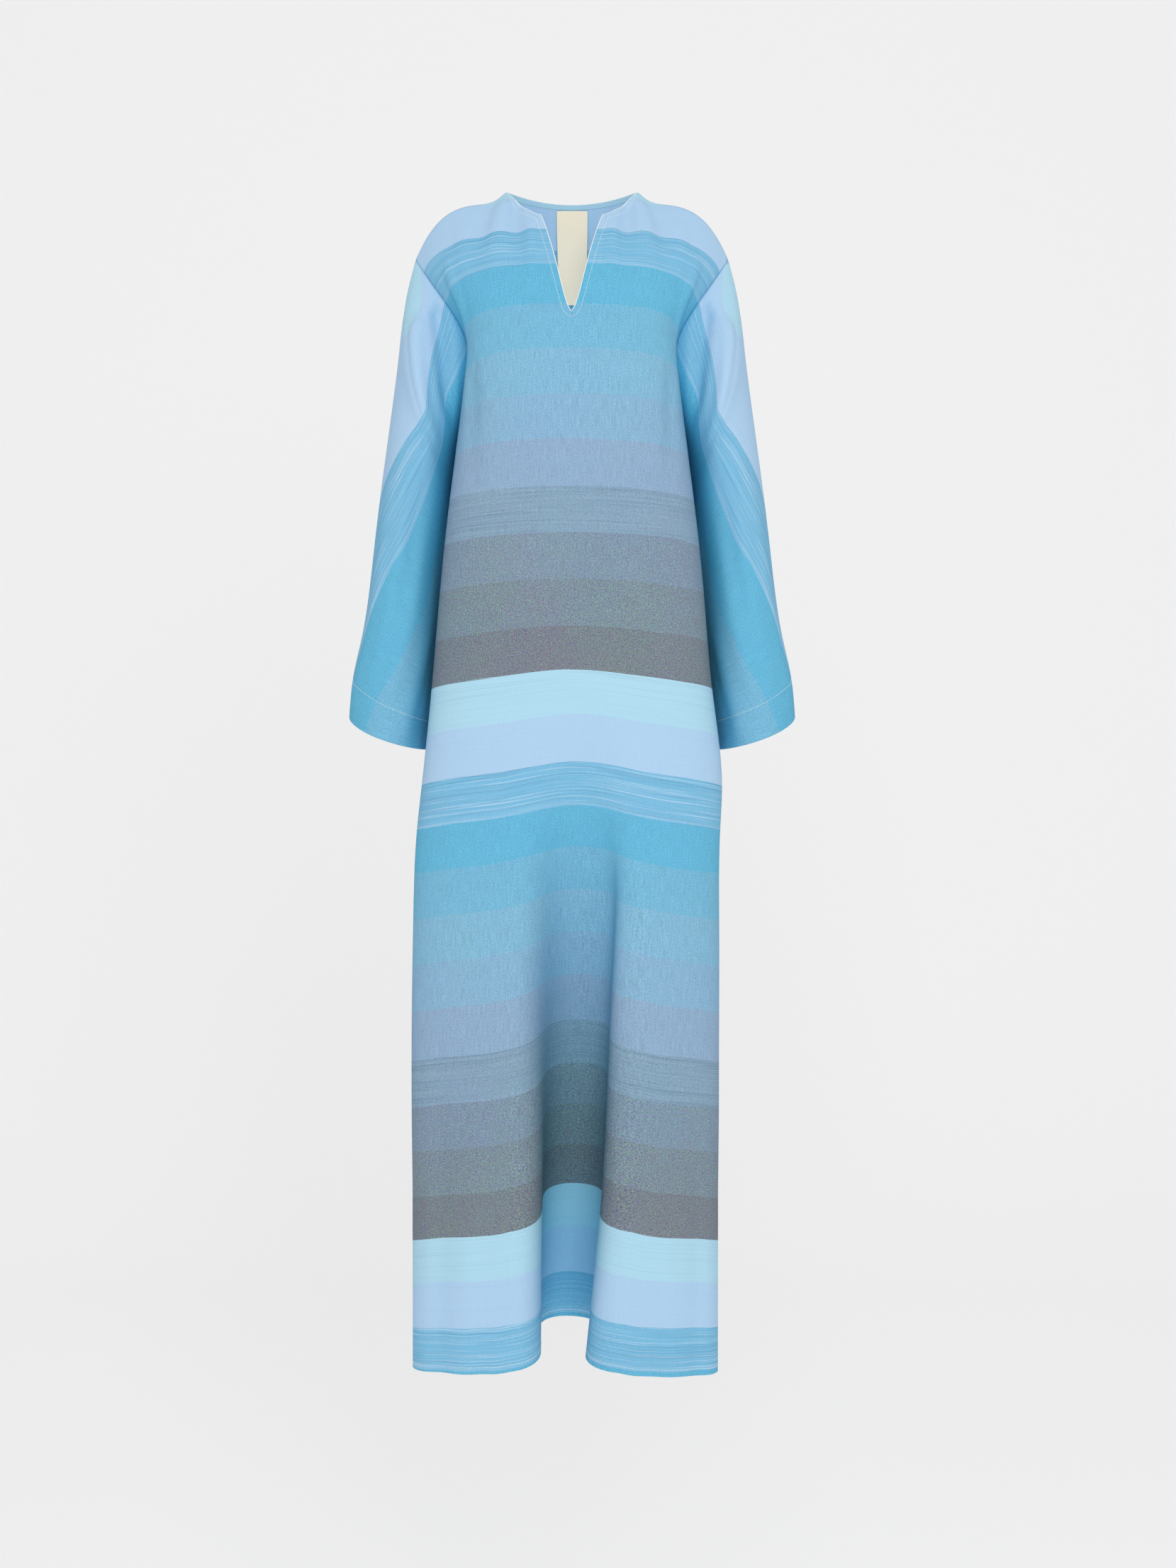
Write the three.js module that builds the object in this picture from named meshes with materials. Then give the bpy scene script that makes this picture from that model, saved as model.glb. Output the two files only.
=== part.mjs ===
// A full-length kaftan with a slit neck, dropped shoulders and wide sleeves, filled out as if worn.
// Millimetres, +Z up, -Y the front. The origin is mid-way between the two neck points, where the
// shoulders carry it.
//
// Every panel is a map from the cloth to its place. u runs across the cloth, from -1 at one edge
// to 1 at the other, and b is the distance down the cloth from the level of the neck points. A row
// table gives the section of the worn garment at some levels of b; what lies between follows a
// smooth curve down each column of u.

import * as THREE from "three";

// ---------------------------------------------------------------- driving sizes
const WALL = 1.5;               // thickness of the cloth's wall
const HEM_EXTRA = 0.9;          // more wall on the inside of a turned hem
const SEAM_GAP = 0.3;           // between two pieces that are sewn together
const LENGTH = 1391.5;          // cloth from the neck point to the hem
const HEM_SKEW = 3;             // how much lower the hem is at the right side than in the middle
const NECK_HALF = 77;           // neck point to the centre line
const NECK_CLOTH = 79;          // the same, along the cloth
const SHOULDER_CLOTH = 205;     // cloth from the centre line to the shoulder tip
const SHOULDER_X = 185;         // shoulder tip to the centre line
const SHOULDER_FALL = 46;       // how far down the cloth the shoulder seam runs
const NECK_ROLL = { fall: 14, over: 12, power: 1.5 };   // the seam's quick drop beside the neck
const SHOULDER_ROUND = { fall: 65, power: 3.9 };     // and its rounding towards the tip
const SLIT_HALF = 38;           // half the width of the neck slit at its corner
const SLIT_CORNER = 44;         // the corner's distance down the cloth
const SLIT_DEPTH = 138;         // the slit below that corner
const SLIT_CURVE = { across: 1.6, down: 1.35 };      // round at the slit's tip and at its corner
const NECK_POWER = 1.5;         // how round the neckline is above the slit
const BACK_NECK_DIP = 14.5;     // the back neckline at the centre
const FRONT_NECK = { y: -6, z: 2 };    // how the worn neck bulges between the neck points
const BACK_NECK = { y: 26, z: 4 };
const FACING = { front: 8, back: 5.5, wall: 0.8 };   // its width in each panel, and its wall
const TAPE = { halfWidth: 19, length: 112, below: 1, wall: 0.8, hang: 3.2 };
const ARMPIT = 278;             // cloth level of the armpit
const SIDE_SLIT = 1150;         // cloth level where the side slits start
const SLEEVE_HEM = 0.917;       // where the sleeve's hem fold starts, as a share of its length

// Half sections of the front: the centre point, a level handle beside it, the bend round the side,
// and the edge. drop is how far the bend and the edge lie under the centre point.
const FRONT_ROWS = table("b z y handle bendX bendY bendDrop edgeX edgeY edgeDrop", [
  [66.8, -49.6, -50, 80, 162, -38, 8.5, 175, -12, 45],
  [119.6, -95, -78, 85, 136, -75, 3, 148, -26, 38],
  [172.4, -143, -98, 80, 130, -92, 5, 123, -30, 36],
  [225, -193, -112, 75, 138, -108, 7, 121, -24, 36],
  [278, -246, -120, 75, 145, -112, 9, 128, 0, 26],
  [384, -350, -125, 80, 170, -112, 12, 136, 5, 20],
  [489, -457, -124, 85, 192, -112, 14, 142, 5, 22],
  [595, -564, -122, 90, 207, -110, 20, 150, 2, 28],
  [700, -673, -118, 95, 216, -105, 24, 165, -8, 30],
  [753, -728, -116, 95, 212, -100, 25, 171, -12, 26],
  [859, -834, -118, 100, 201, -105, 22, 178, -28, 27],
  [1017, -1001, -121, 105, 198, -112, 20, 180, -45, 26],
  [1064, -1052, -122, 105, 198, -112, 18, 180, -48, 26],
  [1228, -1215, -135, 110, 193, -120, 14, 180, -60, 28],
  [1334, -1325, -135, 112, 193, -121, 10, 180, -66, 19],
  [1400, -1392, -135, 115, 193, -122, 8, 180, -70, 10],
]);

const BACK_ROWS = table("b z y handle bendX bendY bendDrop edgeX edgeY edgeDrop", [
  [66.8, -57, 58, 80, 158, 48, 8, 177, 16, 37],
  [119.6, -108, 74, 85, 154, 72, 6, 156, 40, 25],
  [172.4, -160, 82, 85, 150, 80, 5, 140, 50, 17],
  [225, -213, 85, 80, 148, 84, 4, 132, 40, 10],
  [278, -266, 85, 80, 146, 84, 3, 128, 0, 6],
  [384, -372, 84, 82, 155, 84, 0, 136, 5, -2],
  [489, -477, 83, 85, 162, 82, 2, 142, 5, 2],
  [595, -583, 84, 88, 170, 80, 6, 150, 2, 9],
  [700, -688, 86, 90, 176, 78, 8, 165, -8, 15],
  [753, -741, 87, 92, 184, 76, 8, 171, -12, 13],
  [859, -847, 90, 98, 190, 74, 8, 178, -28, 14],
  [1017, -1005, 98, 105, 190, 74, 12, 180, -45, 22],
  [1064, -1052, 101, 105, 190, 74, 14, 180, -48, 26],
  [1228, -1216, 110, 110, 190, 74, 16, 179, -50, 27],
  [1334, -1322, 115, 112, 190, 74, 13, 179, -46, 20],
  [1400, -1387, 117, 115, 190, 74, 10, 179, -45, 14],
]);

// The folds of the skirt hang from a level and deepen down to the hem. centre and half are measured
// along the cloth; leanLeft and leanRight tip the fold's two walls over; rise lifts its bed.
const FRONT_FOLD = table("b centre half depth leanLeft leanRight rise", [
  [489, 6, 76, 0, 0, 0, 0],
  [595, 8, 76, 0, 0, 0, 4],
  [700, 10, 78, 8, 0, 0, 8],
  [753, 12, 80, 18, 1, 2, 10],
  [859, 17, 84, 52, 3, 10, 15],
  [1017, 13, 80, 98, 6, 13, 19],
  [1070, 12, 78, 112, 8, 13, 20],
  [1228, 8, 72, 150, 12, 16, 22],
  [1400, 0, 64, 160, 15, 22, 20],
]);
const BACK_FOLDS = [
  table("b centre half depth leanLeft leanRight rise", [
    [700, -118, 70, 0, 0, 0, 0],
    [1064, -120, 72, 34, 0, 2, 2],
    [1400, -124, 74, 60, 0, 6, 4],
  ]),
  table("b centre half depth leanLeft leanRight rise", [
    [753, 112, 66, 0, 0, 0, 0],
    [1064, 116, 70, 26, 2, 0, 2],
    [1400, 126, 74, 50, 6, 0, 4],
  ]),
];
const RISE_SPREAD = 1.35;       // a fold's rise reaches this much wider than the fold

// The skirt hangs a little to the wearer's right.
const SWAY = table("b x", [[0, 0], [700, 0], [753, -4], [900, -8], [1400, -8]]);

// Half sections of the sleeve, from the overarm seam (over) to the underarm seam (under). front and
// back say how far the two halves belly out. share is the distance down the sleeve.
const SLEEVE_ROWS = table("share overX overY overZ underX underY underZ front back", [
  [0.075, 195.5, 2, -118, 137, 14, -298, 55, 45],
  [0.2, 206, 3, -190, 143, 32, -348, 64, 48],
  [0.41, 222, 4, -305, 149, 40, -430, 70, 50],
  [0.61, 236.5, 4, -415, 155, 40, -510, 74, 54],
  [0.82, 252.5, 3, -525, 163, 36, -594, 78, 58],
  [0.917, 263, 1.5, -573, 167, 34, -630, 80, 60],
  [1, 267.5, 0, -619, 171, 32, -661, 82, 62],
]);
// The handles of the sleeve's sections: how far sideways, and which share of the fall beside each
// seam. The front half bellies out further beside the body.
const SLEEVE_BEND = { over: -4, under: 8, overFall: 0.4, underFall: 0.1, frontUnder: 1.75 };

// Where the meshes have their columns and rows. Columns are closer in the fold and at the edges.
const SHOULDER_COLUMNS = [NECK_CLOTH / SHOULDER_CLOTH, 0.41, 0.45, 0.5, 0.56, 0.63, 0.71, 0.79, 0.87,
  0.94, 1];
const FRONT_COLUMNS = [0, 0.033, 0.066, 0.1, 0.135, 0.17, 0.205, 0.245, 0.29, 0.34,
  ...SHOULDER_COLUMNS];
const BACK_COLUMNS = [0, 0.1, 0.19, 0.26, 0.32, ...SHOULDER_COLUMNS];
const UPPER_ROWS = 9;           // from the top edge to the row of the armpits
const LOWER_ROWS = 25;          // from there to the hem
const HEM_WIDTH = 9;            // the turned hem of the skirt
const SLEEVE_SHARES = [0, 0.075, 0.2, 0.34, 0.48, 0.62, 0.76, 0.86, SLEEVE_HEM, 1];
const TAPE_ROWS = 6;
const MIDDLE_LEVEL = 380;       // cloth level at the centre of the row that ends at the armpits
const SLOPE_STEP = 0.5;         // how near the neckline's slope is measured

const CLOTH = { aqua: 0xa9d3e6, blue: 0x74b4d6, grey: 0x8298a6, cream: 0xece6d2 };
const CLOTH_ROUGHNESS = 0.9;

// ---------------------------------------------------------------- small tools
function table(names, rows) {
  const keys = names.split(" ");
  return rows.map((row) => Object.fromEntries(keys.map((key, i) => [key, row[i]])));
}

// The value of one column of a table at level b, straight between its rows.
function lookUp(rows, key, b) {
  if (b <= rows[0].b) return rows[0][key];
  const next = rows.findIndex((row) => row.b >= b);
  if (next < 0) return rows[rows.length - 1][key];
  const [low, high] = [rows[next - 1], rows[next]];
  return THREE.MathUtils.mapLinear(b, low.b, high.b, low[key], high[key]);
}

// A natural cubic curve through points at increasing places, read at one place.
function smoothThrough(places, points, at) {
  const n = places.length;
  const gaps = places.slice(1).map((place, i) => place - places[i]);
  const slopes = gaps.map((gap, i) => points[i + 1].clone().sub(points[i]).divideScalar(gap));
  const pivot = new Array(n).fill(1);
  const bend = points.map(() => new THREE.Vector3());
  for (let i = 1; i < n - 1; i += 1) {
    const carry = i > 1 ? gaps[i - 1] / pivot[i - 1] : 0;
    pivot[i] = 2 * (gaps[i - 1] + gaps[i]) - (i > 1 ? carry * gaps[i - 1] : 0);
    bend[i].subVectors(slopes[i], slopes[i - 1]).multiplyScalar(6);
    bend[i].addScaledVector(bend[i - 1], -carry);
  }
  bend[0].set(0, 0, 0);
  for (let i = n - 2; i > 0; i -= 1) {
    bend[i].addScaledVector(bend[i + 1], -gaps[i]).divideScalar(pivot[i]);
  }
  let k = places.findIndex((place) => place > at) - 1;
  if (k < 0) k = at < places[0] ? 0 : n - 2;
  const [gap, before, after] = [gaps[k], at - places[k], places[k + 1] - at];
  return new THREE.Vector3()
    .addScaledVector(bend[k], after ** 3 / (6 * gap) - (gap * after) / 6)
    .addScaledVector(bend[k + 1], before ** 3 / (6 * gap) - (gap * before) / 6)
    .addScaledVector(points[k], after / gap)
    .addScaledVector(points[k + 1], before / gap);
}

const hump = (t) => (1 + Math.cos(Math.PI * THREE.MathUtils.clamp(t, -1, 1))) / 2;

// ---------------------------------------------------------------- front and back
class Panel {
  constructor(rows, folds, facing, neck, opening, strip) {
    Object.assign(this, { rows, folds, facing, neck, opening, strip });
    this.sections = rows.map((row) => new THREE.CubicBezierCurve3(
      new THREE.Vector3(0, row.y, row.z),
      new THREE.Vector3(row.handle, row.y, row.z),
      new THREE.Vector3(row.bendX, row.bendY, row.z - row.bendDrop),
      new THREE.Vector3(row.edgeX, row.edgeY, row.z - row.edgeDrop),
    ));
  }

  // The level of the cloth's top edge: the neckline, then the shoulder seam.
  top(u) {
    const across = Math.abs(u) * SHOULDER_CLOTH;
    if (across < NECK_CLOTH) return this.opening(across);
    return (SHOULDER_FALL * (across - NECK_CLOTH)) / (SHOULDER_CLOTH - NECK_CLOTH);
  }

  // The first knot of a column: the shoulder seam, or above the neckline the level of the neck
  // points, where there is no cloth.
  start(u) {
    const across = Math.abs(u) * SHOULDER_CLOTH;
    if (across >= NECK_CLOTH) return { b: this.top(u), place: shoulderSeam(u) };
    const inside = 1 - (across / NECK_CLOTH) ** 2;
    const x = (Math.sign(u) * NECK_HALF * across) / NECK_CLOTH;
    return { b: 0, place: new THREE.Vector3(x, this.neck.y * inside, this.neck.z * inside) };
  }

  // One row of the table at u, with the folds laid into it.
  rowPoint(index, u) {
    const section = this.sections[index];
    const { b } = this.rows[index];
    const place = section.getPointAt(Math.abs(u));
    if (u < 0) place.x *= -1;
    place.x += lookUp(SWAY, "x", b);
    const along = u * section.getLength();
    for (const fold of this.folds) {
      const size = (key) => (b < fold[0].b - 1 ? 0 : lookUp(fold, key, b));
      const offset = along - lookUp(fold, "centre", b);
      const half = lookUp(fold, "half", b);
      const t = THREE.MathUtils.clamp(offset / half, -1, 1);
      place.y -= this.facing * size("depth") * hump(t);
      place.x += size(t < 0 ? "leanLeft" : "leanRight") * Math.sin(2 * Math.PI * t);
      place.z += size("rise") * hump(offset / (half * RISE_SPREAD));
    }
    return place;
  }

  at(u, b) {
    const first = this.start(u);
    const places = [first.b, ...this.rows.map((row) => row.b)];
    const points = [first.place, ...this.rows.map((row, i) => this.rowPoint(i, u))];
    return smoothThrough(places, points, b);
  }

  // Where the mesh's rows cross one column: the top edge, a strip as wide as the facing, then
  // even rows to the armpit level, to the hem's fold and to the hem.
  column(u) {
    const top = this.top(u);
    const middle = THREE.MathUtils.lerp(MIDDLE_LEVEL, ARMPIT, u * u);
    const hem = LENGTH + HEM_SKEW * u;
    const strip = this.stripEdge(u, top, (middle - top) / UPPER_ROWS);
    const cells = [{ u, b: top }, strip];
    for (let i = 2; i <= UPPER_ROWS; i += 1) {
      const t = (i - 1) / (UPPER_ROWS - 1);
      cells.push({ u: THREE.MathUtils.lerp(strip.u, u, t), b: THREE.MathUtils.lerp(strip.b, middle, t) });
    }
    const last = hem - HEM_WIDTH;
    for (let i = 1; i < LOWER_ROWS; i += 1) {
      cells.push({ u, b: THREE.MathUtils.lerp(middle, last, i / (LOWER_ROWS - 1)) });
    }
    cells.push({ u, b: hem });
    return cells;
  }

  // The place on the cloth one facing's width in from the neckline, square to it. Along the shoulder
  // seam the strip widens to an even row.
  stripEdge(u, top, evenRow) {
    const across = Math.abs(u) * SHOULDER_CLOTH;
    if (across > NECK_CLOTH - 1) {
      const outward = (across - NECK_CLOTH) / (SHOULDER_CLOTH - NECK_CLOTH);
      return { u, b: top + THREE.MathUtils.lerp(this.strip, evenRow, outward) };
    }
    const before = Math.max(across - SLOPE_STEP, 0);
    const after = Math.min(across + SLOPE_STEP, NECK_CLOTH);
    const slope = (this.opening(after) - this.opening(before)) / (after - before);
    const long = Math.hypot(1, slope);
    const sideways = across < SLOPE_STEP ? 0 : (-slope / long) * this.strip;
    const down = across < SLOPE_STEP ? this.strip : this.strip / long;
    return { u: (Math.sign(u) * (across + sideways)) / SHOULDER_CLOTH, b: top + down };
  }

  grid(halfColumns) {
    const mirrored = halfColumns.slice(1).map((u) => -u).reverse();
    const columns = [...mirrored, ...halfColumns].map((u) => this.column(u));
    return columns[0].map((_, r) => columns.map((cells) => ({
      place: this.at(cells[r].u, cells[r].b), b: cells[r].b,
    })));
  }
}

function shoulderSeam(u) {
  const share = (Math.abs(u) * SHOULDER_CLOTH - NECK_CLOTH) / (SHOULDER_CLOTH - NECK_CLOTH);
  return new THREE.Vector3(Math.sign(u), 1, 1).multiply(SHOULDER_CURVE.getPointAt(share));
}

// The shoulder seam of the right side, as a curve from the neck point to the tip.
class ShoulderCurve extends THREE.Curve {
  getPoint(t, target = new THREE.Vector3()) {
    const out = t * (SHOULDER_X - NECK_HALF);
    const roll = NECK_ROLL.fall * (1 - Math.exp(-((out / NECK_ROLL.over) ** NECK_ROLL.power)));
    const round = SHOULDER_ROUND.fall * t ** SHOULDER_ROUND.power;
    return target.set(NECK_HALF + out, 0, -roll - round);
  }
}
const SHOULDER_CURVE = new ShoulderCurve();

function slitNeck(across) {
  if (across < SLIT_HALF) {
    const outward = (across / SLIT_HALF) ** SLIT_CURVE.across;
    return SLIT_CORNER + SLIT_DEPTH * (1 - outward) ** SLIT_CURVE.down;
  }
  const t = Math.min((across - SLIT_HALF) / (NECK_CLOTH - SLIT_HALF), 1);
  return SLIT_CORNER * (1 - t ** NECK_POWER);
}

const roundNeck = (across) => BACK_NECK_DIP * (1 - (across / NECK_CLOTH) ** 2);

const frontPanel = new Panel(FRONT_ROWS, [FRONT_FOLD], -1, FRONT_NECK, slitNeck, FACING.front);
const backPanel = new Panel(BACK_ROWS, BACK_FOLDS, 1, BACK_NECK, roundNeck, FACING.back);

// ---------------------------------------------------------------- sleeves
// side is 1 on the right and -1 on the left, facing is -1 for the front half and 1 for the back.
// armhole is the panel's edge, from the shoulder tip to the armpit, which the sleeve starts on.
function sleeveGrid(side, facing, armhole) {
  const steps = armhole.slice(1).map((point, i) => point.distanceTo(armhole[i]));
  const total = steps.reduce((sum, step) => sum + step, 0);
  let walked = 0;
  const fractions = [0, ...steps.map((step) => (walked += step) / total)];
  const sections = SLEEVE_ROWS.map((row) => {
    const over = new THREE.Vector3(side * row.overX, row.overY, row.overZ);
    const under = new THREE.Vector3(side * row.underX, row.underY, row.underZ);
    const belly = facing * (facing < 0 ? row.front : row.back);
    const underBelly = facing < 0 ? belly * SLEEVE_BEND.frontUnder : belly;
    const fall = under.z - over.z;
    const nearOver = over.clone()
      .add(new THREE.Vector3(side * SLEEVE_BEND.over, belly, fall * SLEEVE_BEND.overFall));
    const nearUnder = under.clone()
      .add(new THREE.Vector3(side * SLEEVE_BEND.under, underBelly, -fall * SLEEVE_BEND.underFall));
    return new THREE.CubicBezierCurve3(over, nearOver, nearUnder, under);
  });
  const shares = [0, ...SLEEVE_ROWS.map((row) => row.share)];
  return SLEEVE_SHARES.map((share) => fractions.map((fraction, j) => {
    const points = [armhole[j], ...sections.map((section) => section.getPointAt(fraction))];
    return { place: smoothThrough(shares, points, share), share };
  }));
}

// ---------------------------------------------------------------- from grids to solids
// A sheet is a grid of cells with a place and a normal. flip turns its normals outwards.
function makeSheet(grid, flip) {
  const rows = grid.length;
  const columns = grid[0].length;
  for (let r = 0; r < rows; r += 1) {
    for (let c = 0; c < columns; c += 1) {
      const down = grid[Math.min(r + 1, rows - 1)][c].place.clone()
        .sub(grid[Math.max(r - 1, 0)][c].place);
      const across = grid[r][Math.min(c + 1, columns - 1)].place.clone()
        .sub(grid[r][Math.max(c - 1, 0)].place);
      const normal = down.cross(across).normalize().multiplyScalar(flip ? -1 : 1);
      Object.assign(grid[r][c], { normal, shared: normal.clone(), shift: new THREE.Vector3() });
    }
  }
  return { grid, flip };
}

// Sews two edges, cell by cell: both take one place and one normal, and each then moves half a
// seam gap into its own piece.
function sew(edgeA, edgeB) {
  edgeA.forEach(({ cell: a, inner: innerA }, i) => {
    const { cell: b, inner: innerB } = edgeB[i];
    const place = a.place.clone().add(b.place).multiplyScalar(0.5);
    const intoA = innerA.place.clone().sub(place).normalize();
    const intoB = innerB.place.clone().sub(place).normalize();
    a.place.copy(place);
    b.place.copy(place);
    const next = edgeA[Math.min(i + 1, edgeA.length - 1)].cell.place;
    const last = edgeA[Math.max(i - 1, 0)].cell.place;
    const along = next.clone().sub(last).normalize();
    const normal = a.normal.clone().add(b.normal).normalize();
    const apart = intoA.sub(intoB);
    apart.addScaledVector(along, -apart.dot(along)).addScaledVector(normal, -apart.dot(normal));
    apart.setLength(SEAM_GAP / 2);
    a.shift.add(apart);
    b.shift.sub(apart);
  });
}

// Cells that lie on one spot share the mean of their normals, also where four pieces meet.
function shareNormals(sheets) {
  const spots = new Map();
  for (const { grid } of sheets) {
    for (const cell of grid.flat()) {
      const key = cell.place.toArray().map((value) => value.toFixed(2)).join();
      spots.set(key, [...(spots.get(key) ?? []), cell]);
    }
  }
  for (const cells of spots.values()) {
    const mean = new THREE.Vector3();
    cells.forEach((cell) => mean.add(cell.normal));
    cells.forEach((cell) => cell.shared.copy(mean).normalize());
  }
}

const edgeColumn = (grid, c, inner, from, to) => grid.slice(from, to + 1)
  .map((row) => ({ cell: row[c], inner: row[inner] }));
const edgeRow = (grid, r, inner, columns) => columns
  .map((c) => ({ cell: grid[r][c], inner: grid[inner][c] }));

// A closed wall between two offsets of a grid. outer and inner give each cell's distance from the
// sheet, positive outwards.
function wall(grid, flip, outer, inner) {
  const [rows, columns] = [grid.length, grid[0].length];
  const positions = [];
  for (const offset of [outer, inner]) {
    for (const cell of grid.flat()) {
      positions.push(...cell.place.clone().add(cell.shift)
        .addScaledVector(cell.shared, offset(cell)).toArray());
    }
  }
  const size = rows * columns;
  const triangles = [];
  const face = (...corners) => triangles.push(...(flip ? corners.reverse() : corners));
  const quad = (a, b, c, d) => {
    face(a, b, c);
    face(a, c, d);
  };
  for (let r = 0; r < rows - 1; r += 1) {
    for (let c = 0; c < columns - 1; c += 1) {
      const at = r * columns + c;
      const corners = [at, at + columns, at + columns + 1, at + 1];
      // The left half is split the other way, so that both halves are alike.
      if (c < (columns - 1) / 2) corners.push(corners.shift());
      quad(...corners);
      quad(...corners.map((corner) => size + corner).reverse());
    }
  }
  const rim = [];
  for (let c = 0; c < columns - 1; c += 1) rim.push(c);
  for (let r = 0; r < rows - 1; r += 1) rim.push(r * columns + columns - 1);
  for (let c = columns - 1; c > 0; c -= 1) rim.push((rows - 1) * columns + c);
  for (let r = rows - 1; r > 0; r -= 1) rim.push(r * columns);
  rim.forEach((a, i) => {
    const b = rim[(i + 1) % rim.length];
    quad(a, b, size + b, size + a);
  });
  const geometry = new THREE.BufferGeometry();
  geometry.setAttribute("position", new THREE.Float32BufferAttribute(positions, 3));
  geometry.setIndex(triangles);
  geometry.computeVertexNormals();
  return geometry;
}

function piece(name, geometry, color) {
  const material = new THREE.MeshStandardMaterial({ color, roughness: CLOTH_ROUGHNESS, metalness: 0 });
  const mesh = new THREE.Mesh(geometry, material);
  mesh.name = name;
  return mesh;
}

// ---------------------------------------------------------------- the garment
const front = makeSheet(frontPanel.grid(FRONT_COLUMNS), false);
const back = makeSheet(backPanel.grid(BACK_COLUMNS), true);
const frontLast = front.grid[0].length - 1;
const backLast = back.grid[0].length - 1;

function sleeveHalf(side, facing) {
  const panel = facing < 0 ? front : back;
  const column = side > 0 ? panel.grid[0].length - 1 : 0;
  const armhole = panel.grid.slice(0, UPPER_ROWS + 1).map((row) => row[column].place.clone());
  return makeSheet(sleeveGrid(side, facing, armhole), side * facing < 0);
}

const sleeves = [-1, 1].flatMap((side) => [-1, 1].map((facing) => {
  const name = `sleeve_${facing < 0 ? "front" : "back"}_${side < 0 ? "left" : "right"}`;
  return { name, side, facing, sheet: sleeveHalf(side, facing) };
}));

// Side seams, from the armpits down to the slits.
const slitRow = front.grid.findIndex((row) => row[0].b > SIDE_SLIT) - 1;
sew(edgeColumn(front.grid, 0, 1, UPPER_ROWS, slitRow),
  edgeColumn(back.grid, 0, 1, UPPER_ROWS, slitRow));
sew(edgeColumn(front.grid, frontLast, frontLast - 1, UPPER_ROWS, slitRow),
  edgeColumn(back.grid, backLast, backLast - 1, UPPER_ROWS, slitRow));

// Shoulder seams, from the neck point to the tip.
const reach = SHOULDER_COLUMNS.map((_, i) => i);
sew(edgeRow(front.grid, 0, 1, reach), edgeRow(back.grid, 0, 1, reach));
sew(edgeRow(front.grid, 0, 1, reach.map((i) => frontLast - i)),
  edgeRow(back.grid, 0, 1, reach.map((i) => backLast - i)));

// Armholes, overarm and underarm seams.
const armpit = UPPER_ROWS;
for (const side of [-1, 1]) {
  const [frontHalf, backHalf] = sleeves.filter((sleeve) => sleeve.side === side);
  for (const { facing, sheet } of [frontHalf, backHalf]) {
    const grid = facing < 0 ? front.grid : back.grid;
    const edge = side < 0 ? 0 : grid[0].length - 1;
    const armhole = sheet.grid[0].map((cell, j) => ({ cell, inner: sheet.grid[1][j] }));
    sew(edgeColumn(grid, edge, edge - side, 0, armpit), armhole);
  }
  const shares = SLEEVE_SHARES.length - 1;
  for (const [edge, inner] of [[0, 1], [armpit, armpit - 1]]) {
    sew(edgeColumn(frontHalf.sheet.grid, edge, inner, 0, shares),
      edgeColumn(backHalf.sheet.grid, edge, inner, 0, shares));
  }
}
shareNormals([front, back, ...sleeves.map((sleeve) => sleeve.sheet)]);

// The turned hems are thicker, on the inside.
const hemFold = LENGTH - HEM_WIDTH - 2 * HEM_SKEW;
const skirtInner = (cell) => -WALL / 2 - (cell.b > hemFold ? HEM_EXTRA : 0);
const sleeveInner = (cell) => -WALL / 2 - (cell.share >= SLEEVE_HEM ? HEM_EXTRA : 0);
const outside = () => WALL / 2;

// The facing lies on the inside of the neckline's strip, on the same cells.
function facingGeometry(sheet) {
  const half = (sheet.grid[0].length - 1) / 2;
  const neckCells = half - SHOULDER_COLUMNS.length + 1;
  const strip = sheet.grid.slice(0, 2).map((row) => row.slice(half - neckCells, half + neckCells + 1));
  const top = -WALL / 2 - SEAM_GAP;
  return wall(strip, sheet.flip, () => top, () => top - FACING.wall);
}

// The tape hangs inside the back, held at its top edge under the facing.
function tapeGeometry() {
  const edge = TAPE.halfWidth / SHOULDER_CLOTH;
  const top = BACK_NECK_DIP + FACING.back + TAPE.below;
  const grid = Array.from({ length: TAPE_ROWS + 1 }, (_, r) => [-edge, 0, edge].map((u) => ({
    place: backPanel.at(u, top + (TAPE.length * r) / TAPE_ROWS), fallen: r / TAPE_ROWS,
  })));
  const sheet = makeSheet(grid, true);
  const near = (cell) => -WALL / 2 - 2 * SEAM_GAP - TAPE.hang * cell.fallen;
  return wall(sheet.grid, sheet.flip, near, (cell) => near(cell) - TAPE.wall);
}

const kaftan = new THREE.Group();
kaftan.add(piece("front", wall(front.grid, front.flip, outside, skirtInner), CLOTH.blue));
kaftan.add(piece("back", wall(back.grid, back.flip, outside, skirtInner), CLOTH.blue));
for (const { name, sheet } of sleeves) {
  kaftan.add(piece(name, wall(sheet.grid, sheet.flip, outside, sleeveInner), CLOTH.aqua));
}
kaftan.add(piece("facing_front", facingGeometry(front), CLOTH.grey));
kaftan.add(piece("facing_back", facingGeometry(back), CLOTH.aqua));
kaftan.add(piece("neck_tape", tapeGeometry(), CLOTH.cream));

export default kaftan;
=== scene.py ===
"""A full-length handloom kaftan with a slit neck, wide sleeves and side slits, filled out as if worn.

Every panel is a map from the flat cloth to its place, in millimetres: u runs across the cloth, from
-1 at one edge to 1 at the other, and b is the distance down the cloth from the level of the neck
points. The weft bands follow b, so they bend where the cloth bends. Meshes are made in metres.
"""

import logging
import math
from dataclasses import dataclass, field
from enum import Enum
from typing import Callable, NamedTuple, Sequence

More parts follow.
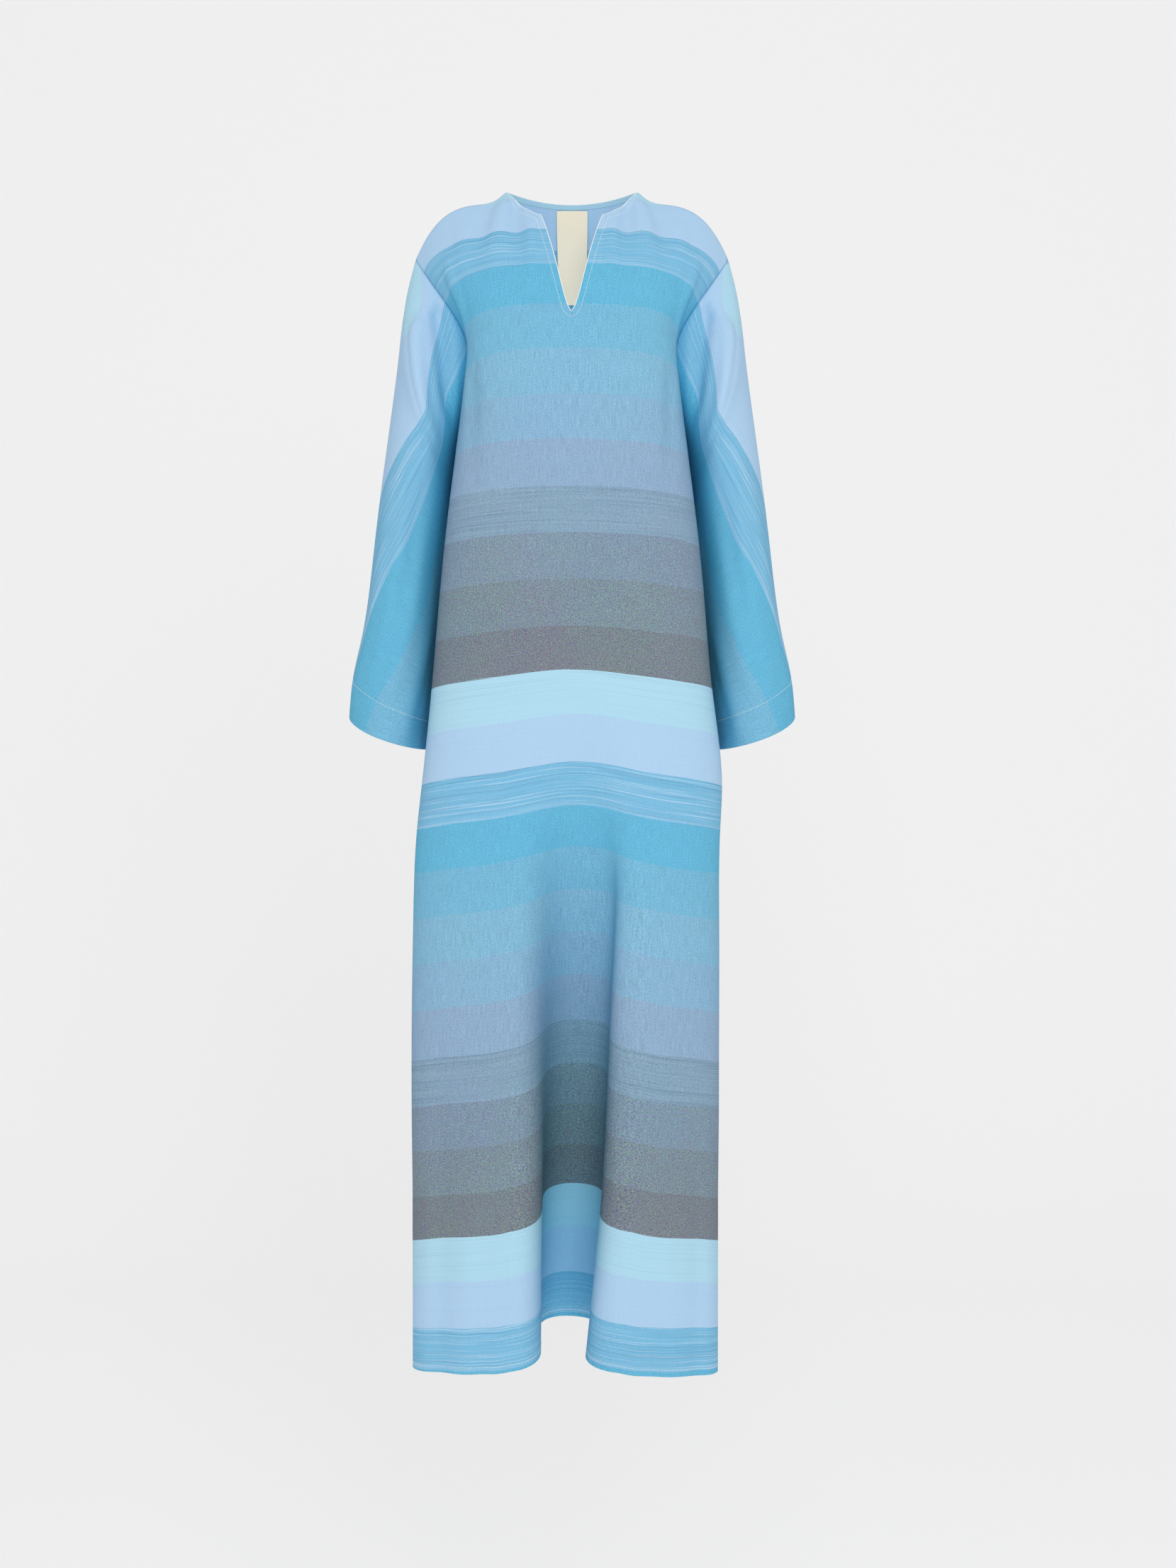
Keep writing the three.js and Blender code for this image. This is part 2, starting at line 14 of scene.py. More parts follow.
import bpy
import numpy as np
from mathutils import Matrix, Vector

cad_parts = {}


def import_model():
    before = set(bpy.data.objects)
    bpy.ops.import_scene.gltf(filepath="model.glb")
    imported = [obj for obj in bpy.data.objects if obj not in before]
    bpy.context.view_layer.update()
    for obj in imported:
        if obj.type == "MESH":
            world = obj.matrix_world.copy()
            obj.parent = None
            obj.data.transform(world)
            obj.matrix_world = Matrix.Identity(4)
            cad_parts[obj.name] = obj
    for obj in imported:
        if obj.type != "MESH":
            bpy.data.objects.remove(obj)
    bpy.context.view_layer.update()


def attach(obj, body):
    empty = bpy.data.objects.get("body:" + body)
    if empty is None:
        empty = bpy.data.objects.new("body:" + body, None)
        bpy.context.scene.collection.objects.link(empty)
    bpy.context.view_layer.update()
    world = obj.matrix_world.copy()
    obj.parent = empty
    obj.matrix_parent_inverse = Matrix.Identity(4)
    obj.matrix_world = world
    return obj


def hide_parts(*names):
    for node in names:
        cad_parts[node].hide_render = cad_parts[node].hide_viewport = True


LOG = logging.getLogger("kaftan")
Array = np.ndarray
Material = bpy.types.Material
Socket = bpy.types.NodeSocket
MM = 0.001
METRE = 1000.0
BODY = "root"


class Side(Enum):
    """A side of the garment, as seen from the front."""

    LEFT = -1
    RIGHT = 1


class Face(Enum):
    """The front or the back of the garment."""

    FRONT = -1
    BACK = 1


# ---------------------------------------------------------------- sizes and tables
@dataclass(frozen=True)
class Cut:
    """The driving sizes of the garment, in millimetres.

    The neck runs from the centre line to the neck points, and the shoulder seams from there to the
    tips. Levels are distances down the cloth.

    Attributes:
        length: The level of the hem.
        hem_skew: How much lower the hem hangs at its right end than in the middle.
        neck_half: From the centre line to a neck point, as worn.
        neck_cloth: The same, along the cloth.
        shoulder_cloth: From the centre line to a shoulder tip, along the cloth.
        shoulder_x: The same, as worn.
        shoulder_fall: The level of the shoulder tips.
        neck_roll_fall: How far the shoulder seam drops as it rolls away from the neck.
        neck_roll_over: Over what distance it does.
        neck_roll_power: How suddenly it does.
        shoulder_round: How far the shoulder tip drops below that.
        shoulder_power: How near the tip the drop is.
        slit_half: Half the width of the neck slit, at its corners.
        slit_corner: The level of those corners.
        slit_depth: The depth of the slit below them.
        slit_across_power: How round the slit's foot is.
        slit_down_power: How hollow its sides are.
        neck_power: How round the neckline is beside the slit.
        back_dip: The depth of the back neckline.
        front_facing: The width of the front's facing.
        back_facing: The width of the back's facing.
        armpit: The level of the armpits.
        middle_level: The level on the centre line that the armpits' row of cloth reaches.
        side_slit: The level where the side slits start.
        hem_width: The depth of the turned hem.
        sleeve_length: The cloth's length along a sleeve.
        sleeve_hem: Where a sleeve's turned hem starts, as a share of its length.
        band: The width of a weft band.
        first_edge: The level of the upper edge of the first whole band.
    """

    length: float = 1391.5
    hem_skew: float = 3.0
    neck_half: float = 77.0
    neck_cloth: float = 79.0
    shoulder_cloth: float = 205.0
    shoulder_x: float = 185.0
    shoulder_fall: float = 46.0
    neck_roll_fall: float = 14.0
    neck_roll_over: float = 12.0
    neck_roll_power: float = 1.5
    shoulder_round: float = 65.0
    shoulder_power: float = 3.9
    slit_half: float = 38.0
    slit_corner: float = 44.0
    slit_depth: float = 138.0
    slit_across_power: float = 1.6
    slit_down_power: float = 1.35
    neck_power: float = 1.5
    back_dip: float = 14.5
    front_facing: float = 8.0
    back_facing: float = 5.5
    armpit: float = 278.0
    middle_level: float = 380.0
    side_slit: float = 1150.0
    hem_width: float = 9.0
    sleeve_length: float = 545.0
    sleeve_hem: float = 0.917
    band: float = 52.8
    first_edge: float = 14.0

    @property
    def neck_share(self) -> float:
        """The neck point's place across the cloth, as a share of the half width."""
        return self.neck_cloth / self.shoulder_cloth

    @property
    def slit_share(self) -> float:
        """The slit corner's place across the cloth, as a share of the half width."""
        return self.slit_half / self.shoulder_cloth


CUT = Cut()


@dataclass(frozen=True)
class Sewing:
    """How the cloth is made up, in millimetres.

    Attributes:
        wall: The cloth's thickness.
        rim_round: How far a cut edge bulges, as a share of its thickness.
        hem_extra: What a turned hem adds to the thickness, on the inside.
        hem_start: From the hem's fold line to where it is thick.
        groove: How deep the cloth dips at a seam.
        groove_reach: How far from the seam it dips.
        body_hold: How far from a seam a crease of the body reaches its full depth.
        sleeve_hold: The same on a sleeve.
        point_ease: How near a neck point the facing's edge turns along the shoulder seam.
        slit_release: How far above a side slit the seam lets go of the creases.
        slit_ease: How far below the slit's top the front and the back come apart.
        side_ease: How far from a side seam the panels are drawn together.
        far: A distance to a seam that counts as no seam near.
    """

    wall: float = 1.0
    rim_round: float = 0.3
    hem_extra: float = 0.9
    hem_start: float = 0.2
    groove: float = 0.5
    groove_reach: float = 1.8
    body_hold: float = 26.0
    sleeve_hold: float = 6.0
    point_ease: float = 20.0
    slit_release: float = 8.0
    slit_ease: float = 60.0
    side_ease: float = 40.0
    far: float = 500.0


SEWING = Sewing()


@dataclass(frozen=True)
class Density:
    """How finely the sheets are made.

    Attributes:
        strip: Rows in the strip along the neckline and the shoulder.
        upper: Rows from the strip to the armpits.
        lower: Rows from the armpits to the hem's fold line.
        panel_hem: Rows of a panel's turned hem, as shares of its depth.
        neck: Columns of half the slit, and again from its corner to the neck point.
        shoulder: Columns of one shoulder.
        edge_crowding: How strongly these crowd towards the side edge.
        sleeve: Rows of a sleeve, down to its hem.
        sleeve_crowding: How strongly these crowd towards the armhole.
        sleeve_hem: Rows of a sleeve's turned hem, as shares of its depth.
    """

    strip: int = 4
    upper: int = 56
    lower: int = 150
    panel_hem: Sequence[float] = (0.0, 0.05, 0.35, 0.7, 1.0)
    neck: int = 20
    shoulder: int = 52
    edge_crowding: float = 1.35
    sleeve: int = 110
    sleeve_crowding: float = 1.25
    sleeve_hem: Sequence[float] = (0.02, 0.25, 0.5, 0.75, 1.0)

    @property
    def armhole(self) -> int:
        """The row of the armpits."""
        return self.strip + self.upper


# The solids' rows between the strip and the armpits. They set the strip's depth at a shoulder tip.
SOLID_UPPER_ROWS = 9
# How many points a shoulder seam and a crease are worked out at.
SEAM_POINTS = 400
CREASE_POINTS = 40
# Places that agree to a tenth of a millimetre are one spot on a seam.
SPOT_DECIMALS = 1


class Section(NamedTuple):
    """Half a level section of a panel: centre, a level handle, the bend round the side, the edge."""

    b: float
    z: float
    y: float
    handle: float
    bend_x: float
    bend_y: float
    bend_drop: float
    edge_x: float
    edge_y: float
    edge_drop: float


class FoldRow(NamedTuple):
    """A hanging fold at one level: where it lies, how deep it is and how its walls lean."""

    b: float
    centre: float
    half: float
    depth: float
    lean_left: float
    lean_right: float
    rise: float


class SleeveRow(NamedTuple):
    """A section of the sleeve, from the overarm seam to the underarm seam."""

    share: float
    over_x: float
    over_y: float
    over_z: float
    under_x: float
    under_y: float
    under_z: float
    front: float
    back: float


FRONT_SECTIONS = [Section(*row) for row in (
    (66.8, -49.6, -50, 80, 162, -38, 8.5, 175, -12, 45),
    (119.6, -95, -78, 85, 136, -75, 3, 148, -26, 38),
    (172.4, -143, -98, 80, 130, -92, 5, 123, -30, 36),
    (225, -193, -112, 75, 138, -108, 7, 121, -24, 36),
    (278, -246, -120, 75, 145, -112, 9, 128, 0, 26),
    (384, -350, -125, 80, 170, -112, 12, 136, 5, 20),
    (489, -457, -124, 85, 192, -112, 14, 142, 5, 22),
    (595, -564, -122, 90, 207, -110, 20, 150, 2, 28),
    (700, -673, -118, 95, 216, -105, 24, 165, -8, 30),
    (753, -728, -116, 95, 212, -100, 25, 171, -12, 26),
    (859, -834, -118, 100, 201, -105, 22, 178, -28, 27),
    (1017, -1001, -121, 105, 198, -112, 20, 180, -45, 26),
    (1064, -1052, -122, 105, 198, -112, 18, 180, -48, 26),
    (1228, -1215, -135, 110, 193, -120, 14, 180, -60, 28),
    (1334, -1325, -135, 112, 193, -121, 10, 180, -66, 19),
    (1400, -1392, -135, 115, 193, -122, 8, 180, -70, 10),
)]
BACK_SECTIONS = [Section(*row) for row in (
    (66.8, -57, 58, 80, 158, 48, 8, 177, 16, 37),
    (119.6, -108, 74, 85, 154, 72, 6, 156, 40, 25),
    (172.4, -160, 82, 85, 150, 80, 5, 140, 50, 17),
    (225, -213, 85, 80, 148, 84, 4, 132, 40, 10),
    (278, -266, 85, 80, 146, 84, 3, 128, 0, 6),
    (384, -372, 84, 82, 155, 84, 0, 136, 5, -2),
    (489, -477, 83, 85, 162, 82, 2, 142, 5, 2),
    (595, -583, 84, 88, 170, 80, 6, 150, 2, 9),
    (700, -688, 86, 90, 176, 78, 8, 165, -8, 15),
    (753, -741, 87, 92, 184, 76, 8, 171, -12, 13),
    (859, -847, 90, 98, 190, 74, 8, 178, -28, 14),
    (1017, -1005, 98, 105, 190, 74, 12, 180, -45, 22),
    (1064, -1052, 101, 105, 190, 74, 14, 180, -48, 26),
    (1228, -1216, 110, 110, 190, 74, 16, 179, -50, 27),
    (1334, -1322, 115, 112, 190, 74, 13, 179, -46, 20),
    (1400, -1387, 117, 115, 190, 74, 10, 179, -45, 14),
)]
FRONT_FOLDS = [[FoldRow(*row) for row in (
    (489, 6, 76, 0, 0, 0, 0),
    (595, 8, 76, 0, 0, 0, 4),
    (700, 10, 78, 8, 0, 0, 8),
    (753, 12, 80, 18, 1, 2, 10),
    (859, 17, 84, 52, 3, 10, 15),
    (1017, 13, 80, 98, 6, 13, 19),
    (1070, 12, 78, 112, 8, 13, 20),
    (1228, 8, 72, 150, 12, 16, 22),
    (1400, 0, 64, 160, 15, 22, 20),
)]]
BACK_FOLDS = [
    [FoldRow(*row) for row in (
        (700, -118, 70, 0, 0, 0, 0),
        (1064, -120, 72, 34, 0, 2, 2),
        (1400, -124, 74, 60, 0, 6, 4),
    )],
    [FoldRow(*row) for row in (
        (753, 112, 66, 0, 0, 0, 0),
        (1064, 116, 70, 26, 2, 0, 2),
        (1400, 126, 74, 50, 6, 0, 4),
    )],
]
# A fold lifts the cloth over a wider span than the fold itself.
RISE_SPREAD = 1.35
# The skirt hangs a little to one side below the hips.
SWAY_LEVELS = (0, 700, 753, 900, 1400)
SWAY_SHIFTS = (0, 0, -4, -8, -8)

SLEEVE_ROWS = [SleeveRow(*row) for row in (
    (0.075, 195.5, 2, -118, 137, 14, -298, 55, 45),
    (0.2, 206, 3, -190, 143, 32, -348, 64, 48),
    (0.41, 222, 4, -305, 149, 40, -430, 70, 50),
    (0.61, 236.5, 4, -415, 155, 40, -510, 74, 54),
    (0.82, 252.5, 3, -525, 163, 36, -594, 78, 58),
    (0.917, 263, 1.5, -573, 167, 34, -630, 80, 60),
    (1, 267.5, 0, -619, 171, 32, -661, 82, 62),
)]
# How a sleeve's section leaves its overarm and underarm seams: outwards, and as a share of the fall.
OVER_HANDLE = (-4.0, 0.4)
UNDER_HANDLE = (8.0, 0.1)
# How much fuller the front half is near the underarm seam.
FRONT_UNDER_BELLY = 1.75


class Crease(NamedTuple):
    """A soft trough or ridge, along a bent line on the flat cloth, in millimetres.

    Points are (across, down) on a panel. On a sleeve they are (down the sleeve, in from the overarm
    seam). A height above zero makes a ridge. fade is the share of the line over which it dies out,
    at its start and at its end.
    """

    start: tuple[float, float]
    bend: tuple[float, float]
    end: tuple[float, float]
    half: float
    height: float
    fade: tuple[float, float] = (0.3, 0.5)


# ---------------------------------------------------------------- curve tools
def smooth_step(low: float, high: float, value: Array) -> Array:
    """Rises softly from 0 to 1 between two values.

    Args:
        low: Where it starts to rise.
        high: Where it has reached 1.
        value: The values to read it at.

    Returns:
        The eased shares.
    """
    t = np.clip((value - low) / (high - low), 0, 1)
    return t * t * (3 - 2 * t)


def hump(t: Array) -> Array:
    """A cosine hill: 1 at t = 0, and 0 from t = -1 and 1 outwards."""
    return (1 + np.cos(np.pi * np.clip(t, -1, 1))) / 2


def unit(vectors: Array) -> Array:
    """Vectors of length one, along the last axis."""
    return vectors / np.maximum(np.linalg.norm(vectors, axis=-1, keepdims=True), 1e-9)


def natural_spline(knots: Array, points: Array, at: Array) -> Array:
    """Reads one natural cubic curve for each of n columns.

    Args:
        knots: (k, n) increasing places.
        points: (k, n, 3) points at those places.
        at: (n,) where each column's curve is read.

    Returns:
        (n, 3) points.
    """
    count = len(knots)
    gap = np.diff(knots, axis=0)
    slope = np.diff(points, axis=0) / gap[..., None]
    bend = np.zeros_like(points)
    pivot = np.ones_like(knots)
    for i in range(1, count - 1):
        pivot[i] = 2 * (gap[i - 1] + gap[i])
        bend[i] = 6 * (slope[i] - slope[i - 1])
        if i > 1:
            carry = gap[i - 1] / pivot[i - 1]
            pivot[i] -= carry * gap[i - 1]
            bend[i] -= carry[:, None] * bend[i - 1]
    bend[-1] = 0
    for i in range(count - 2, 0, -1):
        bend[i] = (bend[i] - gap[i][:, None] * bend[i + 1]) / pivot[i][:, None]
    column = np.arange(knots.shape[1])
    k = np.clip((knots <= at).sum(axis=0) - 1, 0, count - 2)
    step = gap[k, column][:, None]
    before = (at - knots[k, column])[:, None]
    after = (knots[k + 1, column] - at)[:, None]
    return (
        bend[k, column] * (after**3 / (6 * step) - step * after / 6)
        + bend[k + 1, column] * (before**3 / (6 * step) - step * before / 6)
        + points[k, column] * after / step
        + points[k + 1, column] * before / step
    )


class EvenCurve:
    """A curve that is read by its share of arc length."""

    def __init__(self, points: Array) -> None:
        """Keeps a fine run of points.

        Args:
            points: (n, 3) points along the curve.
        """
        self.points = points
        steps = np.linalg.norm(np.diff(points, axis=0), axis=1)
        self.walked = np.concatenate([[0.0], np.cumsum(steps)])

    @property
    def length(self) -> float:
        """The curve's length."""
        return float(self.walked[-1])

    def at(self, share: Array) -> Array:
        """Points at shares of the length, as an array one axis longer than share."""
        walked = np.asarray(share) * self.length
        return np.stack([np.interp(walked, self.walked, self.points[:, i]) for i in range(3)], -1)

    @classmethod
    def bezier(cls, corners: Array, steps: int = 240) -> "EvenCurve":
        """A cubic curve from its four corners.

        Args:
            corners: (4, 3) control points.
            steps: How finely it is kept.

        Returns:
            The curve.
        """
        t = np.linspace(0, 1, steps + 1)[:, None]
        weights = ((1 - t) ** 3, 3 * t * (1 - t) ** 2, 3 * t**2 * (1 - t), t**3)
        return cls(sum(w * corner for w, corner in zip(weights, corners)))


# ---------------------------------------------------------------- sheets of cloth
@dataclass
class ClothGrid:
    """A sheet of cloth as rows and columns of places, in millimetres.

    Attributes:
        place: (rows, columns, 3) places in the middle of the cloth.
        flat: (rows, columns, 2) places on the loom: across, and down through the bands.
        flip: Whether the normals have to be turned to point outwards.
        seam: (rows, columns) distance to the nearest seam, along the cloth.
        inner_extra: (rows, columns) more thickness on the inside, as at a turned hem.
        plan: (rows, columns, 2) places that creases are measured in.
        normal: (rows, columns, 3) outward normals.
        lift: (rows, columns) how far the outer face is moved out.
    """

    place: Array
    flat: Array
    flip: bool
    seam: Array
    inner_extra: Array
    plan: Array
    normal: Array = field(init=False)
    lift: Array = field(init=False)

    def __post_init__(self) -> None:
        """Starts with the grid's own normals and no lift."""
        self.lift = np.zeros(self.place.shape[:2])
        self.find_normals()

    def find_normals(self) -> None:
        """Works the normals out from the neighbours of each place."""
        down = np.empty_like(self.place)
        down[1:-1] = self.place[2:] - self.place[:-2]
        down[0] = self.place[1] - self.place[0]
        down[-1] = self.place[-1] - self.place[-2]
        across = np.empty_like(self.place)
        across[:, 1:-1] = self.place[:, 2:] - self.place[:, :-2]
        across[:, 0] = self.place[:, 1] - self.place[:, 0]
        across[:, -1] = self.place[:, -1] - self.place[:, -2]
        self.normal = unit(np.cross(down, across)) * (-1 if self.flip else 1)

    def press(self, creases: Sequence[Crease], hold: float) -> None:
        """Lays soft troughs and ridges into the sheet, dying out towards its seams.

        Args:
            creases: The creases.
            hold: How far from a seam a crease reaches its full depth.
        """
        push = np.zeros(self.place.shape[:2])
        for crease in creases:
            t = np.linspace(0, 1, CREASE_POINTS)[:, None]
            start, bend, end = (np.array(point, float) for point in crease[:3])
            line = (1 - t) ** 2 * start + 2 * t * (1 - t) * bend + t**2 * end
            nearest = np.full(push.shape, np.inf)
            share = np.zeros(push.shape)
            for s, point in zip(t[:, 0], line):
                far = np.hypot(self.plan[..., 0] - point[0], self.plan[..., 1] - point[1])
                closer = far < nearest
                nearest = np.where(closer, far, nearest)
                share = np.where(closer, s, share)
            first, last = crease.fade
            ends = smooth_step(0, first, share) * smooth_step(0, last, 1 - share)
            push += crease.height * hump(nearest / crease.half) * ends
        push *= smooth_step(0, hold, self.seam)
        self.place = self.place + self.normal * push[..., None]
        self.find_normals()

    def row_at(self, level: Array, column: int) -> float:
        """The fractional row where a column reaches a band level."""
        return float(np.interp(level, self.flat[:, column, 1], np.arange(len(self.flat))))

    def level_line(self, levels: Array, first: int, last: int) -> tuple[Array, Array]:
        """A line across the sheet at one level for each column.

        Args:
            levels: A level for each column of the sheet.
            first: The first column.
            last: The last column.

        Returns:
            Places on the outer face, and their normals.
        """
        columns = np.arange(first, last + 1)
        rows = np.array([self.row_at(levels[c], c) for c in columns])
        return self.read(rows, columns.astype(float))

    def edge_line(self, inset: float, left: bool, first: int, last: int) -> tuple[Array, Array]:
        """A line down the sheet, a fixed distance in from one side edge.

        Args:
            inset: The distance, in millimetres.
            left: Whether the edge is the first column's.
            first: The first row.
            last: The last row.

        Returns:
            Places on the outer face, and their normals.
        """
        rows = np.arange(first, last + 1)
        across = self.flat[rows, :, 0]
        numbers = np.arange(across.shape[1])
        columns = [
            np.interp(line[0] + inset if left else line[-1] - inset, line, numbers)
            for line in across
        ]
        return self.read(rows.astype(float), np.array(columns))

    def read(self, rows: Array, columns: Array) -> tuple[Array, Array]:
        """Reads places and normals between the grid's own points.

        Args:
            rows: Fractional row numbers.
            columns: Fractional column numbers.

        Returns:
            Places on the outer face, and their normals.
        """
        r0 = np.clip(np.floor(rows).astype(int), 0, self.place.shape[0] - 2)
        c0 = np.clip(np.floor(columns).astype(int), 0, self.place.shape[1] - 2)
        fr, fc = (rows - r0)[:, None], (columns - c0)[:, None]

        def blend(values: Array) -> Array:
            """Mixes the four grid points around each place.

            Args:
                values: (rows, columns, 3) values on the grid.

            Returns:
                (n, 3) values.
            """
            top = values[r0, c0] * (1 - fc) + values[r0, c0 + 1] * fc
            low = values[r0 + 1, c0] * (1 - fc) + values[r0 + 1, c0 + 1] * fc
            return top * (1 - fr) + low * fr

        outer = self.place + self.normal * (self.lift + SEWING.wall / 2)[..., None]
        return blend(outer), unit(blend(self.normal))


class MeshDraft(NamedTuple):
    """A mesh before it becomes an object, in millimetres, with four-sided faces.

    Each point has its place on the loom and its distance to the nearest seam.
    """

    points: Array
    faces: Array
    flat: Array
    seam: Array


def wall(grid: ClothGrid, outer: Array, inner: Array) -> MeshDraft:
    """Closes a sheet into a thin wall with a rounded rim.

    Args:
        grid: The sheet.
        outer: (rows, columns) distance of the outer face from the sheet, positive outwards.
        inner: The same for the inner face.

    Returns:
        The wall.
    """
    rows, columns = grid.place.shape[:2]
    size = rows * columns
    number = np.arange(size).reshape(rows, columns)
    faces_out = np.stack(
        [number[:-1, :-1], number[1:, :-1], number[1:, 1:], number[:-1, 1:]], -1
    ).reshape(-1, 4)
    rim = np.concatenate([number[0, :-1], number[:-1, -1], number[-1, :0:-1], number[:0:-1, 0]])
    following = np.roll(rim, -1)
    middle = 2 * size + np.arange(len(rim))
    middle_next = np.roll(middle, -1)
    rim_faces = np.concatenate([
        np.stack([rim, following, middle_next, middle], -1),
        np.stack([middle, middle_next, size + following, size + rim], -1),
    ])
    faces = np.concatenate([faces_out, size + faces_out[:, ::-1], rim_faces])
    if grid.flip:
        faces = faces[:, ::-1]
    face_out = (grid.place + grid.normal * outer[..., None]).reshape(-1, 3)
    face_in = (grid.place + grid.normal * inner[..., None]).reshape(-1, 3)
    centre = (face_out[rim] + face_in[rim]) / 2
    along = unit(np.roll(centre, -1, axis=0) - np.roll(centre, 1, axis=0))
    outward = unit(np.cross(along, grid.normal.reshape(-1, 3)[rim])) * (-1 if grid.flip else 1)
    thick = np.linalg.norm(face_out[rim] - face_in[rim], axis=1, keepdims=True)
    points = np.concatenate([face_out, face_in, centre - outward * thick * SEWING.rim_round])
    flat = grid.flat.reshape(-1, 2)
    seam = grid.seam.reshape(-1)
    return MeshDraft(
        points,
        faces,
        np.concatenate([flat, flat, flat[rim]]),
        np.concatenate([seam, seam, seam[rim]]),
    )


# ---------------------------------------------------------------- the cut panels
@dataclass
class Panel:
    """The front or the back, cut in one piece and hung from the shoulders.

    Attributes:
        face: Front or back.
        sections: The worn sections, from the top down.
        folds: The hanging folds.
        neck_y: How far the worn neck bulges forwards, on the centre line.
        neck_z: How far it rises there.
        opening: The neckline's level at a distance from the centre line.
        strip: How wide the facing inside the neckline is.
        curves: The sections' curves, as worked out.
    """

    face: Face
    sections: Sequence[Section]
    folds: Sequence[Sequence[FoldRow]]
    neck_y: float
    neck_z: float
    opening: Callable[[Array], Array]
    strip: float
    curves: list[EvenCurve] = field(init=False)

    def __post_init__(self) -> None:
        """Makes the section curves once."""
        self.curves = [
            EvenCurve.bezier(np.array([
                [0, row.y, row.z],
                [row.handle, row.y, row.z],
                [row.bend_x, row.bend_y, row.z - row.bend_drop],
                [row.edge_x, row.edge_y, row.z - row.edge_drop],
            ], float))
            for row in self.sections
        ]

    def top(self, u: Array) -> Array:
        """The level of the cloth's top edge: the neckline, then the shoulder seam.

        Args:
            u: Places across.

        Returns:
            Levels.
        """
        across = np.abs(u) * CUT.shoulder_cloth
        seam = CUT.shoulder_fall * (across - CUT.neck_cloth) / (CUT.shoulder_cloth - CUT.neck_cloth)
        return np.where(across < CUT.neck_cloth, self.opening(across), seam)

    def half_width(self, b: Array) -> Array:
        """Half the flat cloth's width.

        Args:
            b: Levels.

        Returns:
            Half widths at those levels.
        """
        levels = [0.0] + [row.b for row in self.sections]
        widths = [CUT.shoulder_cloth] + [curve.length for curve in self.curves]
        return np.interp(b, levels, widths)

    def row_point(self, index: int, u: Array) -> Array:
        """One section at u, with the folds laid into it.

        Args:
            index: The section's number.
            u: (n,) places across.

        Returns:
            (n, 3) places.
        """
        b = self.sections[index].b
        curve = self.curves[index]
        place = curve.at(np.abs(u))
        place[:, 0] *= np.where(u < 0, -1, 1)
        place[:, 0] += np.interp(b, SWAY_LEVELS, SWAY_SHIFTS)
        along = u * curve.length
        for rows in self.folds:
            levels = [row.b for row in rows]

            def size(name: str) -> float:
                """One of the fold's columns at this level."""
                return float(np.interp(b, levels, [getattr(row, name) for row in rows]))

            if b < levels[0] - 1:
                continue
            offset = along - size("centre")
            t = np.clip(offset / size("half"), -1, 1)
            place[:, 1] -= self.face.value * size("depth") * hump(t)
            lean = np.where(t < 0, size("lean_left"), size("lean_right"))
            place[:, 0] += lean * np.sin(2 * np.pi * t)
            place[:, 2] += size("rise") * hump(offset / (size("half") * RISE_SPREAD))
        return place

    def start(self, u: Array) -> tuple[Array, Array]:
        """The first knot of each column: the shoulder seam, or the level of the neck points.

        Args:
            u: (n,) places across.

        Returns:
            Levels and places.
        """
        across = np.abs(u) * CUT.shoulder_cloth
        on_seam = across >= CUT.neck_cloth
        inside = 1 - (across / CUT.neck_cloth) ** 2
        x = np.sign(u) * CUT.neck_half * across / CUT.neck_cloth
        neck = np.stack([x, self.neck_y * inside, self.neck_z * inside], -1)
        b = np.where(on_seam, self.top(u), 0.0)
        return b, np.where(on_seam[:, None], shoulder_seam(u), neck)

    def at(self, u: Array, b: Array) -> Array:
        """Places of the cloth.

        Args:
            u: (n,) places across.
            b: (n,) levels.

        Returns:
            (n, 3) places.
        """
        first_b, first = self.start(u)
        levels = [first_b] + [np.full_like(u, row.b) for row in self.sections]
        points = [first] + [self.row_point(i, u) for i in range(len(self.sections))]
        return natural_spline(np.stack(levels), np.stack(points), b)

    def strip_edge(self, u: Array, even_row: Array) -> tuple[Array, Array]:
        """The line one facing's width in from the neckline, square to it.

        Args:
            u: (n,) columns.
            even_row: (n,) the height of an even row, which the strip takes at the shoulder tip.

        Returns:
            Places across and levels.
        """
        across = np.abs(u) * CUT.shoulder_cloth
        step = 0.5
        before = np.maximum(across - step, 0)
        after = np.minimum(across + step, CUT.neck_cloth)
        slope = (self.opening(after) - self.opening(before)) / np.maximum(after - before, 1e-6)
        long = np.hypot(1, slope)
        centre = across < step
        sideways = np.where(centre, 0, -slope / long * self.strip)
        down = np.where(centre, self.strip, self.strip / long)
        outward = (across - CUT.neck_cloth) / (CUT.shoulder_cloth - CUT.neck_cloth)
        on_seam = across > CUT.neck_cloth - 1
        down = np.where(on_seam, self.strip + (even_row - self.strip) * outward, down)
        near_point = smooth_step(CUT.neck_cloth - SEWING.point_ease, CUT.neck_cloth - 1, across)
        down = np.where(on_seam, down, down + (self.strip - down) * near_point)
        sideways = np.where(on_seam, 0, sideways * (1 - near_point))
        strip_u = np.sign(u) * (across + sideways) / CUT.shoulder_cloth
        return np.where(on_seam, u, strip_u), self.top(u) + down

    def grid(self, half_columns: Array, density: Density) -> ClothGrid:
        """The panel as a fine sheet.

        Args:
            half_columns: Places across from 0 to 1.
            density: How finely it is made.

        Returns:
            The sheet.
        """
        u0 = np.concatenate([-half_columns[:0:-1], half_columns])
        top = self.top(u0)
        middle = CUT.middle_level + (CUT.armpit - CUT.middle_level) * u0**2
        hem = CUT.length + CUT.hem_skew * u0
        even_row = (middle - top) / SOLID_UPPER_ROWS
        strip_u, strip_b = self.strip_edge(u0, even_row)
        fold = hem - CUT.hem_width

        def between(start: tuple[Array, Array], end: tuple[Array, Array], shares: Array) -> list:
            """Rows from one line of the cloth to another."""
            return [tuple(a + (b - a) * t for a, b in zip(start, end)) for t in shares]

